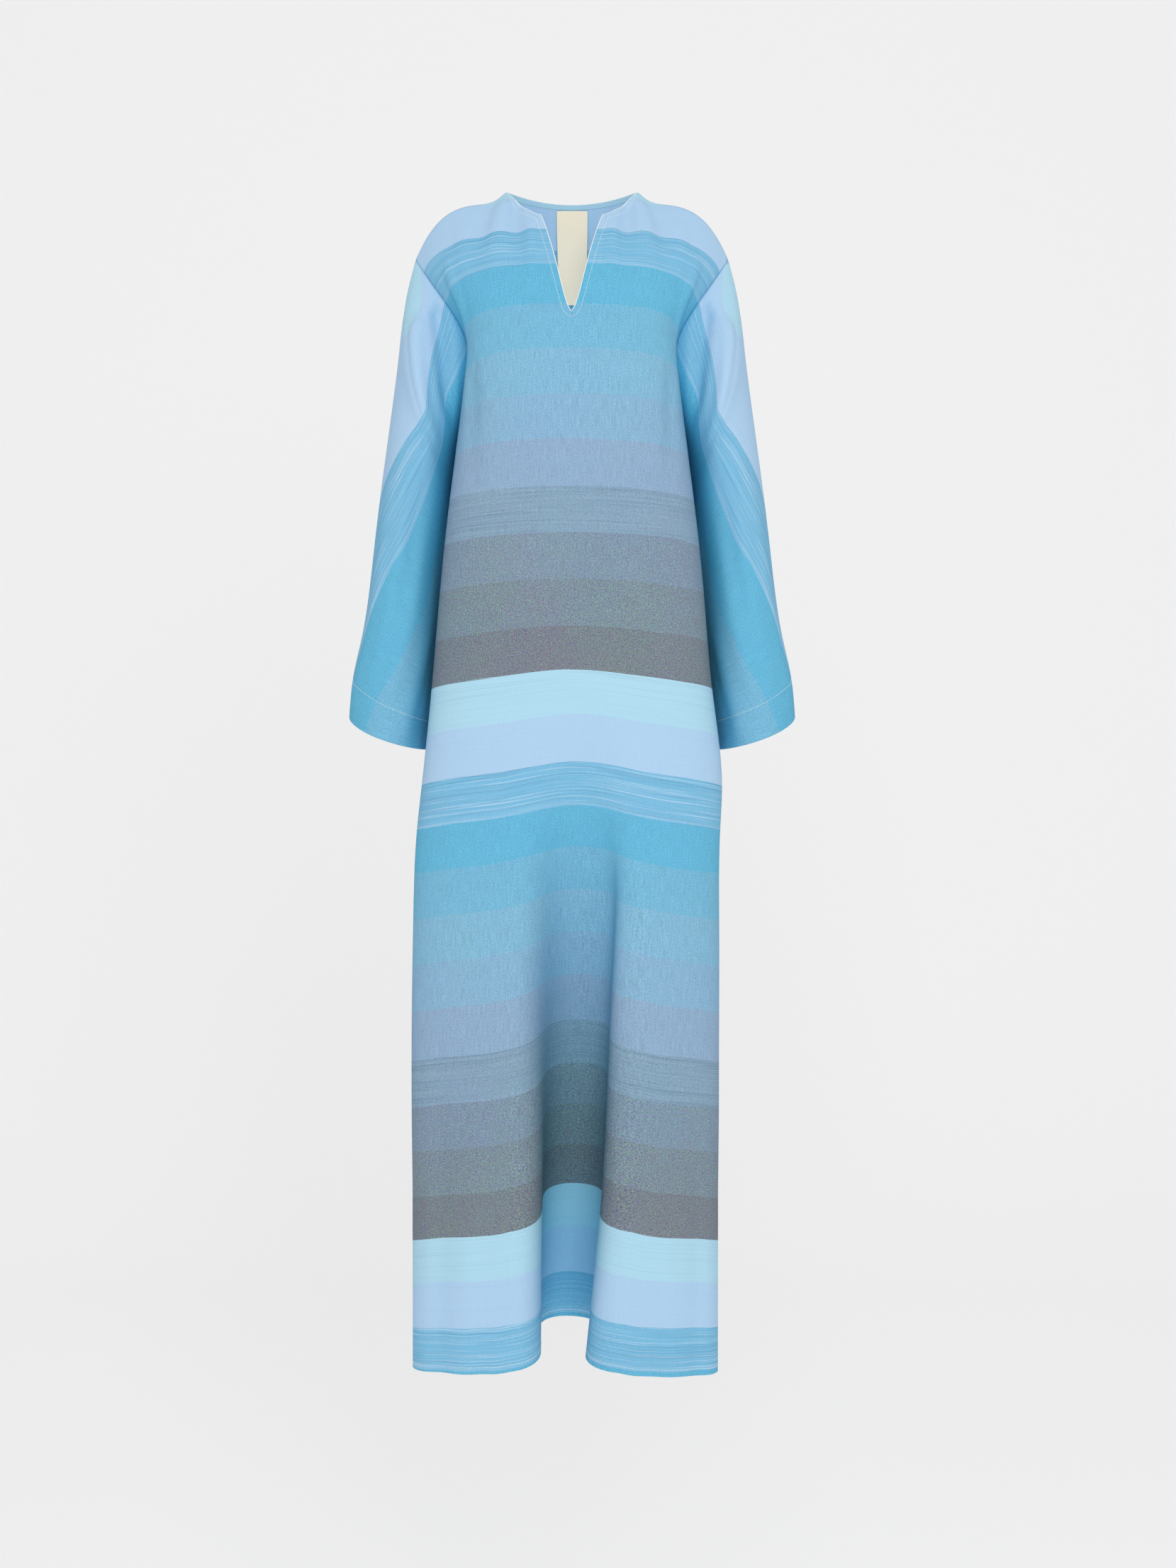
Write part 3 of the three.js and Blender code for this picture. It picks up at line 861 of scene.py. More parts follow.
        cells = between((u0, top), (strip_u, strip_b), np.arange(density.strip) / density.strip)
        cells += between((strip_u, strip_b), (u0, middle), np.arange(density.upper) / density.upper)
        cells += between((u0, middle), (u0, fold), np.arange(density.lower) / density.lower)
        cells += between((u0, fold), (u0, hem), np.array(density.panel_hem))
        u = np.stack([cell[0] for cell in cells])
        b = np.stack([cell[1] for cell in cells])
        place = self.at(u.reshape(-1), b.reshape(-1)).reshape(*u.shape, 3)
        width = self.half_width(b)
        flat = np.stack([u * width, b], -1)
        side = (1 - np.abs(u)) * width
        open_side = smooth_step(CUT.side_slit - SEWING.slit_release, CUT.side_slit, b)
        side = side + open_side * SEWING.far
        shoulder = np.where(np.abs(u0) >= CUT.neck_share - 1e-6, b - top, SEWING.far)
        seam = np.minimum(side, shoulder)
        hem_fold = np.where(b > fold + SEWING.hem_start, SEWING.hem_extra, 0.0)
        return ClothGrid(place, flat, self.face is Face.BACK, seam, hem_fold, flat)


def shoulder_seam(u: Array) -> Array:
    """Places on the shoulder seams.

    Args:
        u: (n,) places across, beyond the neck points.

    Returns:
        (n, 3) places.
    """
    t = np.linspace(0, 1, SEAM_POINTS)
    out = t * (CUT.shoulder_x - CUT.neck_half)
    roll = CUT.neck_roll_fall * (1 - np.exp(-((out / CUT.neck_roll_over) ** CUT.neck_roll_power)))
    fall = roll + CUT.shoulder_round * t**CUT.shoulder_power
    curve = EvenCurve(np.stack([CUT.neck_half + out, np.zeros_like(t), -fall], -1))
    across = np.abs(u) * CUT.shoulder_cloth
    share = (across - CUT.neck_cloth) / (CUT.shoulder_cloth - CUT.neck_cloth)
    place = curve.at(np.clip(share, 0, 1))
    place[:, 0] *= np.where(u < 0, -1, 1)
    return place


def slit_neck(across: Array) -> Array:
    """The front neckline: a rounded neck with a hollow-sided slit.

    Args:
        across: Distances from the centre line, along the cloth.

    Returns:
        Levels.
    """
    outward = np.clip(across / CUT.slit_half, 0, 1) ** CUT.slit_across_power
    slit = CUT.slit_corner + CUT.slit_depth * (1 - outward) ** CUT.slit_down_power
    t = np.clip((across - CUT.slit_half) / (CUT.neck_cloth - CUT.slit_half), 0, 1)
    return np.where(across < CUT.slit_half, slit, CUT.slit_corner * (1 - t**CUT.neck_power))


def round_neck(across: Array) -> Array:
    """The back neckline, a shallow scoop."""
    return CUT.back_dip * (1 - (across / CUT.neck_cloth) ** 2)


def front_panel() -> Panel:
    """The front, whose worn neck bulges forwards a little."""
    return Panel(Face.FRONT, FRONT_SECTIONS, FRONT_FOLDS, neck_y=-6, neck_z=2,
                 opening=slit_neck, strip=CUT.front_facing)


def back_panel() -> Panel:
    """The back, whose neck stands behind the wearer's."""
    return Panel(Face.BACK, BACK_SECTIONS, BACK_FOLDS, neck_y=26, neck_z=4,
                 opening=round_neck, strip=CUT.back_facing)


@dataclass
class SleeveHalf:
    """The front or back half of one sleeve, which starts on the armhole edge of its panel.

    Attributes:
        side: Which sleeve.
        face: Front or back half.
        armhole: (n, 3) the panel's edge, from the shoulder tip to the armpit.
    """

    side: Side
    face: Face
    armhole: Array

    def curve(self, row: SleeveRow) -> EvenCurve:
        """The section of this half at one row of the table.

        Args:
            row: The row.

        Returns:
            The curve from the overarm seam to the underarm seam.
        """
        side = self.side.value
        over = np.array([side * row.over_x, row.over_y, row.over_z], float)
        under = np.array([side * row.under_x, row.under_y, row.under_z], float)
        belly = self.face.value * (row.front if self.face is Face.FRONT else row.back)
        fall = under[2] - over[2]
        near_over = over + [side * OVER_HANDLE[0], belly, fall * OVER_HANDLE[1]]
        under_belly = belly * (FRONT_UNDER_BELLY if self.face is Face.FRONT else 1.0)
        near_under = under + [side * UNDER_HANDLE[0], under_belly, -fall * UNDER_HANDLE[1]]
        return EvenCurve.bezier(np.stack([over, near_over, near_under, under]))

    def grid(self, density: Density) -> ClothGrid:
        """The half sleeve as a fine sheet.

        Args:
            density: How finely it is made.

        Returns:
            The sheet.
        """
        steps = np.linalg.norm(np.diff(self.armhole, axis=0), axis=1)
        fractions = np.concatenate([[0.0], np.cumsum(steps)]) / steps.sum()
        curves = [self.curve(row) for row in SLEEVE_ROWS]
        down = np.arange(density.sleeve + 1) / density.sleeve
        shares = down**density.sleeve_crowding * CUT.sleeve_hem
        hem = CUT.sleeve_hem + (1 - CUT.sleeve_hem) * np.array(density.sleeve_hem)
        shares = np.concatenate([shares, hem])
        knots = np.array([0.0] + [row.share for row in SLEEVE_ROWS])
        points = np.stack([self.armhole] + [curve.at(fractions) for curve in curves])
        rows, columns = len(shares), len(fractions)
        place = natural_spline(
            np.repeat(knots[:, None], rows * columns, axis=1),
            np.tile(points, (1, rows, 1)),
            np.repeat(shares, columns),
        ).reshape(rows, columns, 3)
        widths = np.interp(shares, knots, [steps.sum()] + [curve.length for curve in curves])
        across = fractions * widths[:, None]
        along = np.repeat((shares * CUT.sleeve_length)[:, None], columns, axis=1)
        flat = np.stack([along, sleeve_bands(shares, fractions)], -1)
        seam = np.minimum(np.minimum(across, widths[:, None] - across), along)
        in_hem = shares[:, None] > CUT.sleeve_hem + 1e-4
        extra = np.where(in_hem, SEWING.hem_extra, 0.0) * np.ones_like(seam)
        flip = self.side.value * self.face.value < 0
        return ClothGrid(place, flat, flip, seam, extra, np.stack([along, across], -1))


class EdgeRow(NamedTuple):
    """Where the band edges cross the sleeve, at one share of its length.

    Each is a fraction of the way from the overarm seam to the underarm seam. Those below 0 or above
    1 lie beyond a seam, and only guide the cloth next to it.
    """

    share: float
    aqua_lilac: float
    lilac_streaked: float
    streaked_sky: float
    sky_two: float
    sky_three: float


# The weft runs slantwise down the arm, and the fold beside the armhole swallows some of it.
SLEEVE_EDGES = [EdgeRow(*row) for row in (
    (0.00, 0.06, 0.30, 0.58, 0.84, 1.10),
    (0.05, 0.22, 0.44, 0.70, 0.91, 1.13),
    (0.10, 0.19, 0.57, 0.77, 0.95, 1.15),
    (0.15, 0.04, 0.53, 0.74, 0.94, 1.15),
    (0.20, -0.08, 0.45, 0.67, 0.90, 1.13),
    (0.25, -0.16, 0.37, 0.61, 0.86, 1.11),
    (0.35, -0.22, 0.24, 0.54, 0.80, 1.06),
    (0.47, -0.30, 0.09, 0.46, 0.71, 0.98),
    (0.60, -0.42, -0.06, 0.32, 0.62, 0.90),
    (0.70, -0.50, -0.16, 0.22, 0.53, 0.84),
    (0.85, -0.60, -0.26, 0.10, 0.41, 0.74),
    (1.00, -0.70, -0.35, 0.00, 0.31, 0.63),
)]


def sleeve_bands(shares: Array, fractions: Array) -> Array:
    """The band level on a sleeve.

    Args:
        shares: (rows,) distances down the sleeve, as shares.
        fractions: (columns,) distances from the overarm seam, as shares.

    Returns:
        (rows, columns) levels like those of the panels.
    """
    table = np.array(SLEEVE_EDGES, float)
    knots, edges = table[:, :1], table[:, 1:]
    count = len(shares)
    crossings = np.stack([
        natural_spline(
            np.repeat(knots, count, 1), np.repeat(edges[:, None, i : i + 1], count, 1), shares
        )[:, 0]
        for i in range(edges.shape[1])
    ], -1)
    levels = CUT.first_edge + CUT.band * np.arange(-1, edges.shape[1] + 1)
    first = 2 * crossings[:, :1] - crossings[:, 1:2]
    last = 2 * crossings[:, -1:] - crossings[:, -2:-1]
    crossings = np.concatenate([first, crossings, last], 1)
    return np.stack([np.interp(fractions, row, levels) for row in crossings])


# ---------------------------------------------------------------- finishes
def linear(code: int) -> tuple[float, float, float, float]:
    """A colour as a shader takes it.

    Args:
        code: The colour as a six-digit hexadecimal number.

    Returns:
        Linear red, green, blue and alpha.
    """
    def channel(value: float) -> float:
        """One channel from its display value."""
        return value / 12.92 if value <= 0.04045 else ((value + 0.055) / 1.055) ** 2.4

    red, green, blue = (channel(((code >> shift) & 255) / 255) for shift in (16, 8, 0))
    return red, green, blue, 1.0


class Grain(NamedTuple):
    """A noise over cloth: its repeats in a unit of length across and down, and how it is mixed."""

    across: float
    down: float
    seed: float = 0.0
    detail: float = 2.0
    rough: float = 0.5


class Ease(NamedTuple):
    """A smooth change of one range into another, clamped at both ends."""

    low: float
    high: float
    to_low: float
    to_high: float


class Sketch:
    """Adds nodes to one material and wires them."""

    def __init__(self, name: str) -> None:
        """Starts a material that holds only its shader.

        Args:
            name: The material's name.
        """
        self.material = bpy.data.materials.new(name)
        self.material.use_nodes = True
        self.nodes = self.material.node_tree.nodes
        self.links = self.material.node_tree.links
        self.shader = next(n for n in self.nodes if n.type == "BSDF_PRINCIPLED")

    def add(self, kind: str, **settings: object) -> bpy.types.Node:
        """Adds a node and sets its options.

        Args:
            kind: The node's type, without its prefix.
            settings: Options by name.

        Returns:
            The node.
        """
        node = self.nodes.new("ShaderNode" + kind)
        for key, value in settings.items():
            setattr(node, key, value)
        return node

    def feed(self, socket: Socket, value: object) -> None:
        """Links a socket to another, or sets its value.

        Args:
            socket: The socket that takes it.
            value: A socket or a plain value.
        """
        if isinstance(value, bpy.types.NodeSocket):
            self.links.new(value, socket)
        else:
            socket.default_value = value

    def math(self, operation: str, a: object, b: object = 0.0, c: object = 0.0) -> Socket:
        """A math node.

        Args:
            operation: Its operation.
            a: First value or socket.
            b: Second value or socket.
            c: Third value or socket.

        Returns:
            The result's socket.
        """
        node = self.add("Math", operation=operation)
        for socket, value in zip(node.inputs, (a, b, c)):
            self.feed(socket, value)
        return node.outputs[0]

    def times(self, a: object, b: object) -> Socket:
        """The product of two values or sockets."""
        return self.math("MULTIPLY", a, b)

    def eased(self, value: object, ease: Ease) -> Socket:
        """Maps one range to another.

        Args:
            value: The socket to map.
            ease: The two ranges.

        Returns:
            The result's socket.
        """
        node = self.add("MapRange", interpolation_type="SMOOTHSTEP")
        for socket, item in zip(node.inputs, (value, *ease)):
            self.feed(socket, item)
        return node.outputs[0]

    def loom(self) -> tuple[Socket, Socket]:
        """The place on the loom, in metres.

        Returns:
            Sockets of the places across, and down through the bands.
        """
        uv = self.add("UVMap", uv_map="loom")
        parts = self.add("SeparateXYZ")
        self.feed(parts.inputs[0], uv.outputs[0])
        return parts.outputs[0], parts.outputs[1]

    def point(self, x: object, y: object, z: object = 0.0) -> Socket:
        """A vector from three values or sockets.

        Args:
            x: Its first part.
            y: Its second part.
            z: Its third part.

        Returns:
            The vector's socket.
        """
        node = self.add("CombineXYZ")
        for socket, value in zip(node.inputs, (x, y, z)):
            self.feed(socket, value)
        return node.outputs[0]

    def around_one(self, noise: object, strength: object) -> Socket:
        """Turns noise between 0 and 1 into a factor about 1.

        Args:
            noise: The noise's value or colour.
            strength: How far the factor strays, as a value or socket.

        Returns:
            The factor's socket, as a colour.
        """
        centred = self.add("VectorMath", operation="SUBTRACT")
        self.feed(centred.inputs[0], noise)
        centred.inputs[1].default_value = (0.5, 0.5, 0.5)
        scaled = self.add("VectorMath", operation="SCALE")
        self.feed(scaled.inputs[0], centred.outputs[0])
        self.feed(scaled.inputs["Scale"], strength)
        raised = self.add("VectorMath", operation="ADD")
        self.feed(raised.inputs[0], scaled.outputs[0])
        raised.inputs[1].default_value = (1.0, 1.0, 1.0)
        return raised.outputs[0]

    def noise(self, across: object, down: object, grain: Grain) -> bpy.types.Node:
        """Noise over the cloth.

        Args:
            across: The place across.
            down: The place down.
            grain: How fine the noise is there, and how it is mixed.

        Returns:
            The node, with its Fac and Color outputs.
        """
        place = self.point(self.times(across, grain.across), self.times(down, grain.down), grain.seed)
        node = self.add("TexNoise", noise_dimensions="3D")
        self.feed(node.inputs["Vector"], place)
        node.inputs["Scale"].default_value = 1.0
        node.inputs["Detail"].default_value = grain.detail
        node.inputs["Roughness"].default_value = grain.rough
        return node

    def blend(self, mode: str, factor: object, a: object, b: object) -> Socket:
        """Mixes two colours.

        Args:
            mode: The blend mode.
            factor: How much of the second.
            a: First colour.
            b: Second colour.

        Returns:
            The mixed colour's socket.
        """
        node = self.add("Mix", data_type="RGBA", blend_type=mode)
        self.feed(node.inputs[0], factor)
        self.feed(node.inputs[6], a)
        self.feed(node.inputs[7], b)
        return node.outputs[2]

    def ramp(self, place: object, stops: Sequence[tuple[float, tuple]]) -> tuple:
        """Flat steps of colour.

        Args:
            place: Where the ramp is read, from 0 to 1.
            stops: Each step's start and colour.

        Returns:
            The colour's socket, and its alpha's.
        """
        node = self.add("ValToRGB")
        node.color_ramp.interpolation = "CONSTANT"
        elements = node.color_ramp.elements
        while len(elements) < len(stops):
            elements.new(1.0)
        for element, (start, colour) in zip(elements, stops):
            element.position = start
            element.color = colour
        self.feed(node.inputs[0], place)
        return node.outputs[0], node.outputs[1]

    def relief(self, height: Socket, strength: float, depth: float) -> Socket:
        """Raised and sunk places on the surface.

        Args:
            height: How high each place stands.
            strength: How clearly the relief shows.
            depth: How deep it is, in millimetres.

        Returns:
            The normal's socket.
        """
        bump = self.add("Bump")
        bump.inputs["Strength"].default_value = strength
        bump.inputs["Distance"].default_value = depth * MM
        self.feed(bump.inputs["Height"], height)
        return bump.outputs[0]

    def finish(self, colour: object, roughness: float, sheen: float) -> Material:
        """Gives the shader its colour and its surface.

        Args:
            colour: The colour, as a value or socket.
            roughness: How rough the surface is.
            sheen: How much light it reflects.

        Returns:
            The material.
        """
        self.feed(self.shader.inputs["Base Color"], colour)
        self.shader.inputs["Roughness"].default_value = roughness
        self.shader.inputs["Specular IOR Level"].default_value = sheen
        return self.material


class Band(NamedTuple):
    """One weft band: its colour, and how strongly it shows flecks, warp threads and weft lines."""

    name: str
    colour: int
    fleck: float
    warp: float
    pale: float
    deep: float


BANDS = (
    Band("lilac", 0xA4C3DE, 0.12, 0.10, 0.0, 0.05),
    Band("streaked_blue", 0x75B0D0, 0.25, 0.15, 0.70, 0.40),
    Band("sky_one", 0x61ABCB, 0.50, 0.40, 0.0, 0.0),
    Band("sky_two", 0x70ABC8, 0.52, 0.50, 0.0, 0.0),
    Band("sky_three", 0x7BABC6, 0.55, 0.60, 0.0, 0.0),
    Band("sky_four", 0x80A7C3, 0.50, 0.60, 0.0, 0.0),
    Band("periwinkle", 0x86A1BC, 0.50, 0.50, 0.0, 0.0),
    Band("streaked_slate", 0x7F99AE, 0.60, 0.40, 0.12, 0.42),
    Band("grey_one", 0x788C9D, 0.90, 0.55, 0.0, 0.0),
    Band("grey_two", 0x758691, 1.00, 0.45, 0.0, 0.0),
    Band("grey_three", 0x717B84, 1.00, 0.35, 0.0, 0.0),
    Band("aqua", 0xA4CBDD, 0.12, 0.06, 0.0, 0.16),
)


@dataclass(frozen=True)
class BandedCotton:
    """Slubby handloom cotton in equal weft bands.

    Grains are in repeats to a millimetre.

    Attributes:
        name: What the material is called.
        bands: The bands of one repeat, from the first edge down.
        waver_grain: The grain of the band edges' waver.
        waver: How far the noise moves them, in millimetres.
        pale_line: The colour of pale weft lines.
        pale_grain: Their grain.
        pale_cut: Which of the noise shows as a pale line.
        gap_grain: The grain of the gaps in pale lines.
        gap_cut: How far the gaps hide them.
        foot: How clearly a pale line follows a streaked band's foot.
        deep_line: What deep weft lines multiply the colour by.
        deep_grain: Their grain.
        deep_cut: Which of the noise shows as a deep line.
        head: How deep lines weaken from a band's head down.
        fleck_grain: The grain of single flecks.
        fleck_tone: How much flecks change the tone.
        fleck_hue: How much they change the hue, in the most flecked bands.
        warp_grain: The grain of warp threads.
        warp_tone: How much they change the tone.
        patch_grain: The grain of larger patches.
        patch_hue: How much the hue drifts over them.
        seam_tint: What the cloth beside a seam is multiplied by.
        seam_reach: How strongly, at which distance from the seam in millimetres.
        fold_rays: How many rays look for other cloth, for the painted fold shade.
        fold_shade_reach: How near other cloth makes a place enclosed, in metres, for the painted
            shade.
        fold_cut: How strongly openness takes the painted shade away.
        painted_fold_shade: Painted shade: what enclosed places, in folds and beside the body,
            multiply the colour by, darkening it and deepening its blue where shade falls.
        rib_pitch: From one slanting rib to the next, in millimetres.
        rib_height: How high the ribs stand beside the slubs.
        slub_grain: The grain of slubs.
        relief: How clearly the relief shows.
        relief_depth: How deep it is, in millimetres.
        roughness: How rough the surface is.
        sheen: How much light it reflects.
    """

    name: str = "banded_cotton"
    bands: Sequence[Band] = BANDS
    waver_grain: Grain = Grain(0.012, 1.0, 3.0, 1.0)
    waver: Ease = Ease(0.2, 0.8, -0.8, 0.8)
    pale_line: int = 0xAECCE2
    pale_grain: Grain = Grain(0.0035, 0.55, 0.0, 3.0, 0.72)
    pale_cut: Ease = Ease(0.53, 0.6, 0.0, 0.9)
    gap_grain: Grain = Grain(0.03, 0.9, 4.0)
    gap_cut: Ease = Ease(0.3, 0.55, 0.35, 1.0)
    foot: Ease = Ease(0.9, 0.96, 0.0, 0.3)
    deep_line: int = 0xA2B6C4
    deep_grain: Grain = Grain(0.0035, 0.6, 9.0, 3.0, 0.7)
    deep_cut: Ease = Ease(0.52, 0.6, 0.0, 1.0)
    head: Ease = Ease(0.0, 0.5, 1.0, 0.75)
    fleck_grain: Grain = Grain(0.744, 0.62, 0.0, 2.0, 0.7)
    fleck_tone: float = 1.7
    fleck_hue: float = 1.5
    warp_grain: Grain = Grain(0.75, 0.05, 7.0, 2.0, 0.6)
    warp_tone: float = 0.9
    patch_grain: Grain = Grain(0.011, 0.006, 11.0)
    patch_hue: float = 0.2
    seam_tint: int = 0x7FA6C4
    seam_reach: Ease = Ease(0.0, 1.6, 0.5, 0.0)
    # Painted shade in folds and beside the body, found by ambient occlusion.
    fold_rays: int = 6
    fold_shade_reach: float = 0.12
    fold_cut: Ease = Ease(0.15, 0.85, 1.0, 0.0)
    painted_fold_shade: tuple[float, float, float, float] = (0.55, 0.92, 1.0, 1.0)
    rib_pitch: float = 0.85
    rib_height: float = 0.18
    slub_grain: Grain = Grain(0.25, 1.1, 5.0, 3.0, 0.6)
    relief: float = 0.35
    relief_depth: float = 0.25
    roughness: float = 0.95
    sheen: float = 0.06

    def material(self) -> Material:
        """Makes the material.

        Returns:
            The material.
        """
        sketch = Sketch(self.name)
        across, level = (sketch.times(part, METRE) for part in sketch.loom())

        waver = sketch.noise(across, level, self.waver_grain)
        level_here = sketch.math("ADD", level, sketch.eased(waver.outputs[0], self.waver))
        repeat = CUT.band * len(self.bands)
        below_first = sketch.math("SUBTRACT", level_here, CUT.first_edge)
        share = sketch.math("DIVIDE", sketch.math("WRAP", below_first, repeat, 0.0), repeat)
        starts = [i / len(self.bands) for i in range(len(self.bands))]
        colour = sketch.ramp(share, [(s, linear(b.colour)) for s, b in zip(starts, self.bands)])[0]
        marks, warp = sketch.ramp(
            share, [(s, (b.fleck, b.pale, b.deep, b.warp)) for s, b in zip(starts, self.bands)])
        amounts = sketch.add("SeparateXYZ")
        sketch.feed(amounts.inputs[0], marks)
        fleck, pale, deep = amounts.outputs
        in_band = sketch.math("FRACT", sketch.times(share, len(self.bands)))

        colour = self.weft_lines(sketch, across, level, in_band, colour, pale, deep)
        colour = self.flecks(sketch, across, level, colour, fleck, warp)
        seam = sketch.add("Attribute", attribute_name="seam")
        near_seam = sketch.eased(seam.outputs["Fac"], self.seam_reach)
        colour = sketch.blend("MULTIPLY", near_seam, colour, linear(self.seam_tint))
        # Painted shade: in folds and beside the body the colour is made darker and bluer.
        openness = sketch.add("AmbientOcclusion", samples=self.fold_rays)
        openness.inputs["Distance"].default_value = self.fold_shade_reach
        enclosed = sketch.eased(openness.outputs["AO"], self.fold_cut)
        colour = sketch.blend("MULTIPLY", enclosed, colour, self.painted_fold_shade)
        sketch.feed(sketch.shader.inputs["Normal"], self.weave(sketch, across, level))
        return sketch.finish(colour, self.roughness, self.sheen)

    def weft_lines(self, sketch: Sketch, across: object, level: object, in_band: object,
                   colour: object, pale: object, deep: object) -> Socket:
        """Irregular thin lines of paler and deeper weft.

        Args:
            sketch: The material's sketch.
            across: The place across, in millimetres.
            level: The level, in millimetres.
            in_band: The place in the band, from 0 at its top to 1.
            colour: The colour under the lines.
            pale: How strong the pale lines are.
            deep: How strong the deep lines are.

        Returns:
            The colour with lines.
        """
        gaps = sketch.noise(across, level, self.gap_grain)
        shown = sketch.eased(gaps.outputs[0], self.gap_cut)
        lines = sketch.noise(across, level, self.pale_grain)
        lines = sketch.eased(lines.outputs[0], self.pale_cut)
        thin = sketch.math("MAXIMUM", lines, sketch.eased(in_band, self.foot))
        amount = sketch.times(sketch.times(thin, shown), pale)
        colour = sketch.blend("MIX", amount, colour, linear(self.pale_line))
        dark = sketch.noise(across, level, self.deep_grain)
        dark = sketch.eased(dark.outputs[0], self.deep_cut)
        amount = sketch.times(sketch.times(dark, sketch.eased(in_band, self.head)), deep)
        return sketch.blend("MULTIPLY", amount, colour, linear(self.deep_line))

    def flecks(self, sketch: Sketch, across: object, level: object, colour: object, fleck: object,
               warp: object) -> Socket:
        """Mixed yarns: fine flecks of changing tone and hue, and short streaks along the warp.

        Args:
            sketch: The material's sketch.
            across: The place across, in millimetres.
            level: The level, in millimetres.
            colour: The colour under the flecks.
            fleck: How strongly the band is flecked.
            warp: How strongly warp threads show.

        Returns:
            The flecked colour.
        """
        fine = sketch.noise(across, level, self.fleck_grain)
        threads = sketch.noise(across, level, self.warp_grain)
        patches = sketch.noise(across, level, self.patch_grain)
        hue = sketch.times(fleck, fleck)
        for noise, strength in (
            (fine.outputs["Fac"], sketch.times(fleck, self.fleck_tone)),
            (fine.outputs["Color"], sketch.times(hue, self.fleck_hue)),
            (threads.outputs["Fac"], sketch.times(warp, self.warp_tone)),
            (patches.outputs["Color"], sketch.times(hue, self.patch_hue)),
        ):
            colour = sketch.blend("MULTIPLY", 1.0, colour, sketch.around_one(noise, strength))
        return colour

    def weave(self, sketch: Sketch, across: object, level: object) -> Socket:
        """The relief of slubby yarns.

        Args:
            sketch: The material's sketch.
            across: The place across, in millimetres.
            level: The level, in millimetres.

        Returns:
            The normal's socket.
        """
        diagonal = sketch.math("ADD", across, level)
        ribs = sketch.math("SINE", sketch.times(diagonal, 2 * math.pi / self.rib_pitch))
        slubs = sketch.noise(across, level, self.slub_grain)
        height = sketch.math("ADD", sketch.times(ribs, self.rib_height), slubs.outputs[0])
        return sketch.relief(height, self.relief, self.relief_depth)


@dataclass(frozen=True)
class PlainCotton:
    """Plain woven cotton in one colour, for the facings, the tape and the thread.

    Attributes:
        name: The material's name.
        colour: Its colour.
        fleck: How much the colour changes.
        thread: The spacing of its threads, in millimetres.
        mottle_grain: The grain of the changes, in repeats to a metre.
        mottle_low: Where the noise is darkest.
        mottle_high: Where it is palest.
        relief: How clearly the relief shows.
        relief_depth: How deep it is, in millimetres.
        roughness: How rough the surface is.
        sheen: How much light it reflects.
    """

    name: str
    colour: int
    fleck: float = 0.08
    thread: float = 0.6
    mottle_grain: Grain = Grain(900.0, 1400.0, 0.0, 2.0, 0.6)
    mottle_low: float = 0.25
    mottle_high: float = 0.75
    relief: float = 0.4
    relief_depth: float = 0.15
    roughness: float = 0.85
    sheen: float = 0.25

    def material(self) -> Material:
        """Makes the material.

        Returns:
            The material.
        """
        sketch = Sketch(self.name)
        across, level = sketch.loom()
        turn = 2 * math.pi / self.thread * METRE
        weft, warp = (sketch.math("SINE", sketch.times(place, turn)) for place in (level, across))
        threads = sketch.relief(sketch.times(weft, warp), self.relief, self.relief_depth)
        sketch.feed(sketch.shader.inputs["Normal"], threads)
        mottle = sketch.noise(across, level, self.mottle_grain)
        shades = Ease(self.mottle_low, self.mottle_high, 1 - self.fleck, 1 + self.fleck)
        light = sketch.eased(mottle.outputs[0], shades)
        colour = sketch.blend("MULTIPLY", 1.0, linear(self.colour), sketch.point(light, light, light))
        return sketch.finish(colour, self.roughness, self.sheen)


# ---------------------------------------------------------------- pieces and thread
# Faces that meet at more degrees than this keep a sharp edge.
SHARP_EDGE = 38
CORD_SIDES = 6


def make_piece(name: str, draft: MeshDraft, material: Material) -> bpy.types.Object:
    """Turns a draft into an object that rides on the garment.

    Args:
        name: The piece's name.
        draft: Its mesh.
        material: Its finish.

    Returns:
        The object.
    """
    mesh = bpy.data.meshes.new(name)
    mesh.from_pydata((draft.points * MM).tolist(), [], draft.faces.tolist())
    mesh.materials.append(material)
    loops = np.empty(len(mesh.loops), np.int32)
    mesh.loops.foreach_get("vertex_index", loops)
    layer = mesh.uv_layers.new(name="loom")
    layer.data.foreach_set("uv", (draft.flat[loops] * MM).astype(np.float32).ravel())
    seam = mesh.attributes.new("seam", "FLOAT", "POINT")
    seam.data.foreach_set("value", draft.seam.astype(np.float32))
    mesh.shade_smooth()
    mesh.set_sharp_from_angle(angle=math.radians(SHARP_EDGE))
    mesh.update()
    piece = bpy.data.objects.new(name, mesh)
    bpy.context.scene.collection.objects.link(piece)
    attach(piece, BODY)
    LOG.info("%s: %d faces", name, len(draft.faces))
    return piece


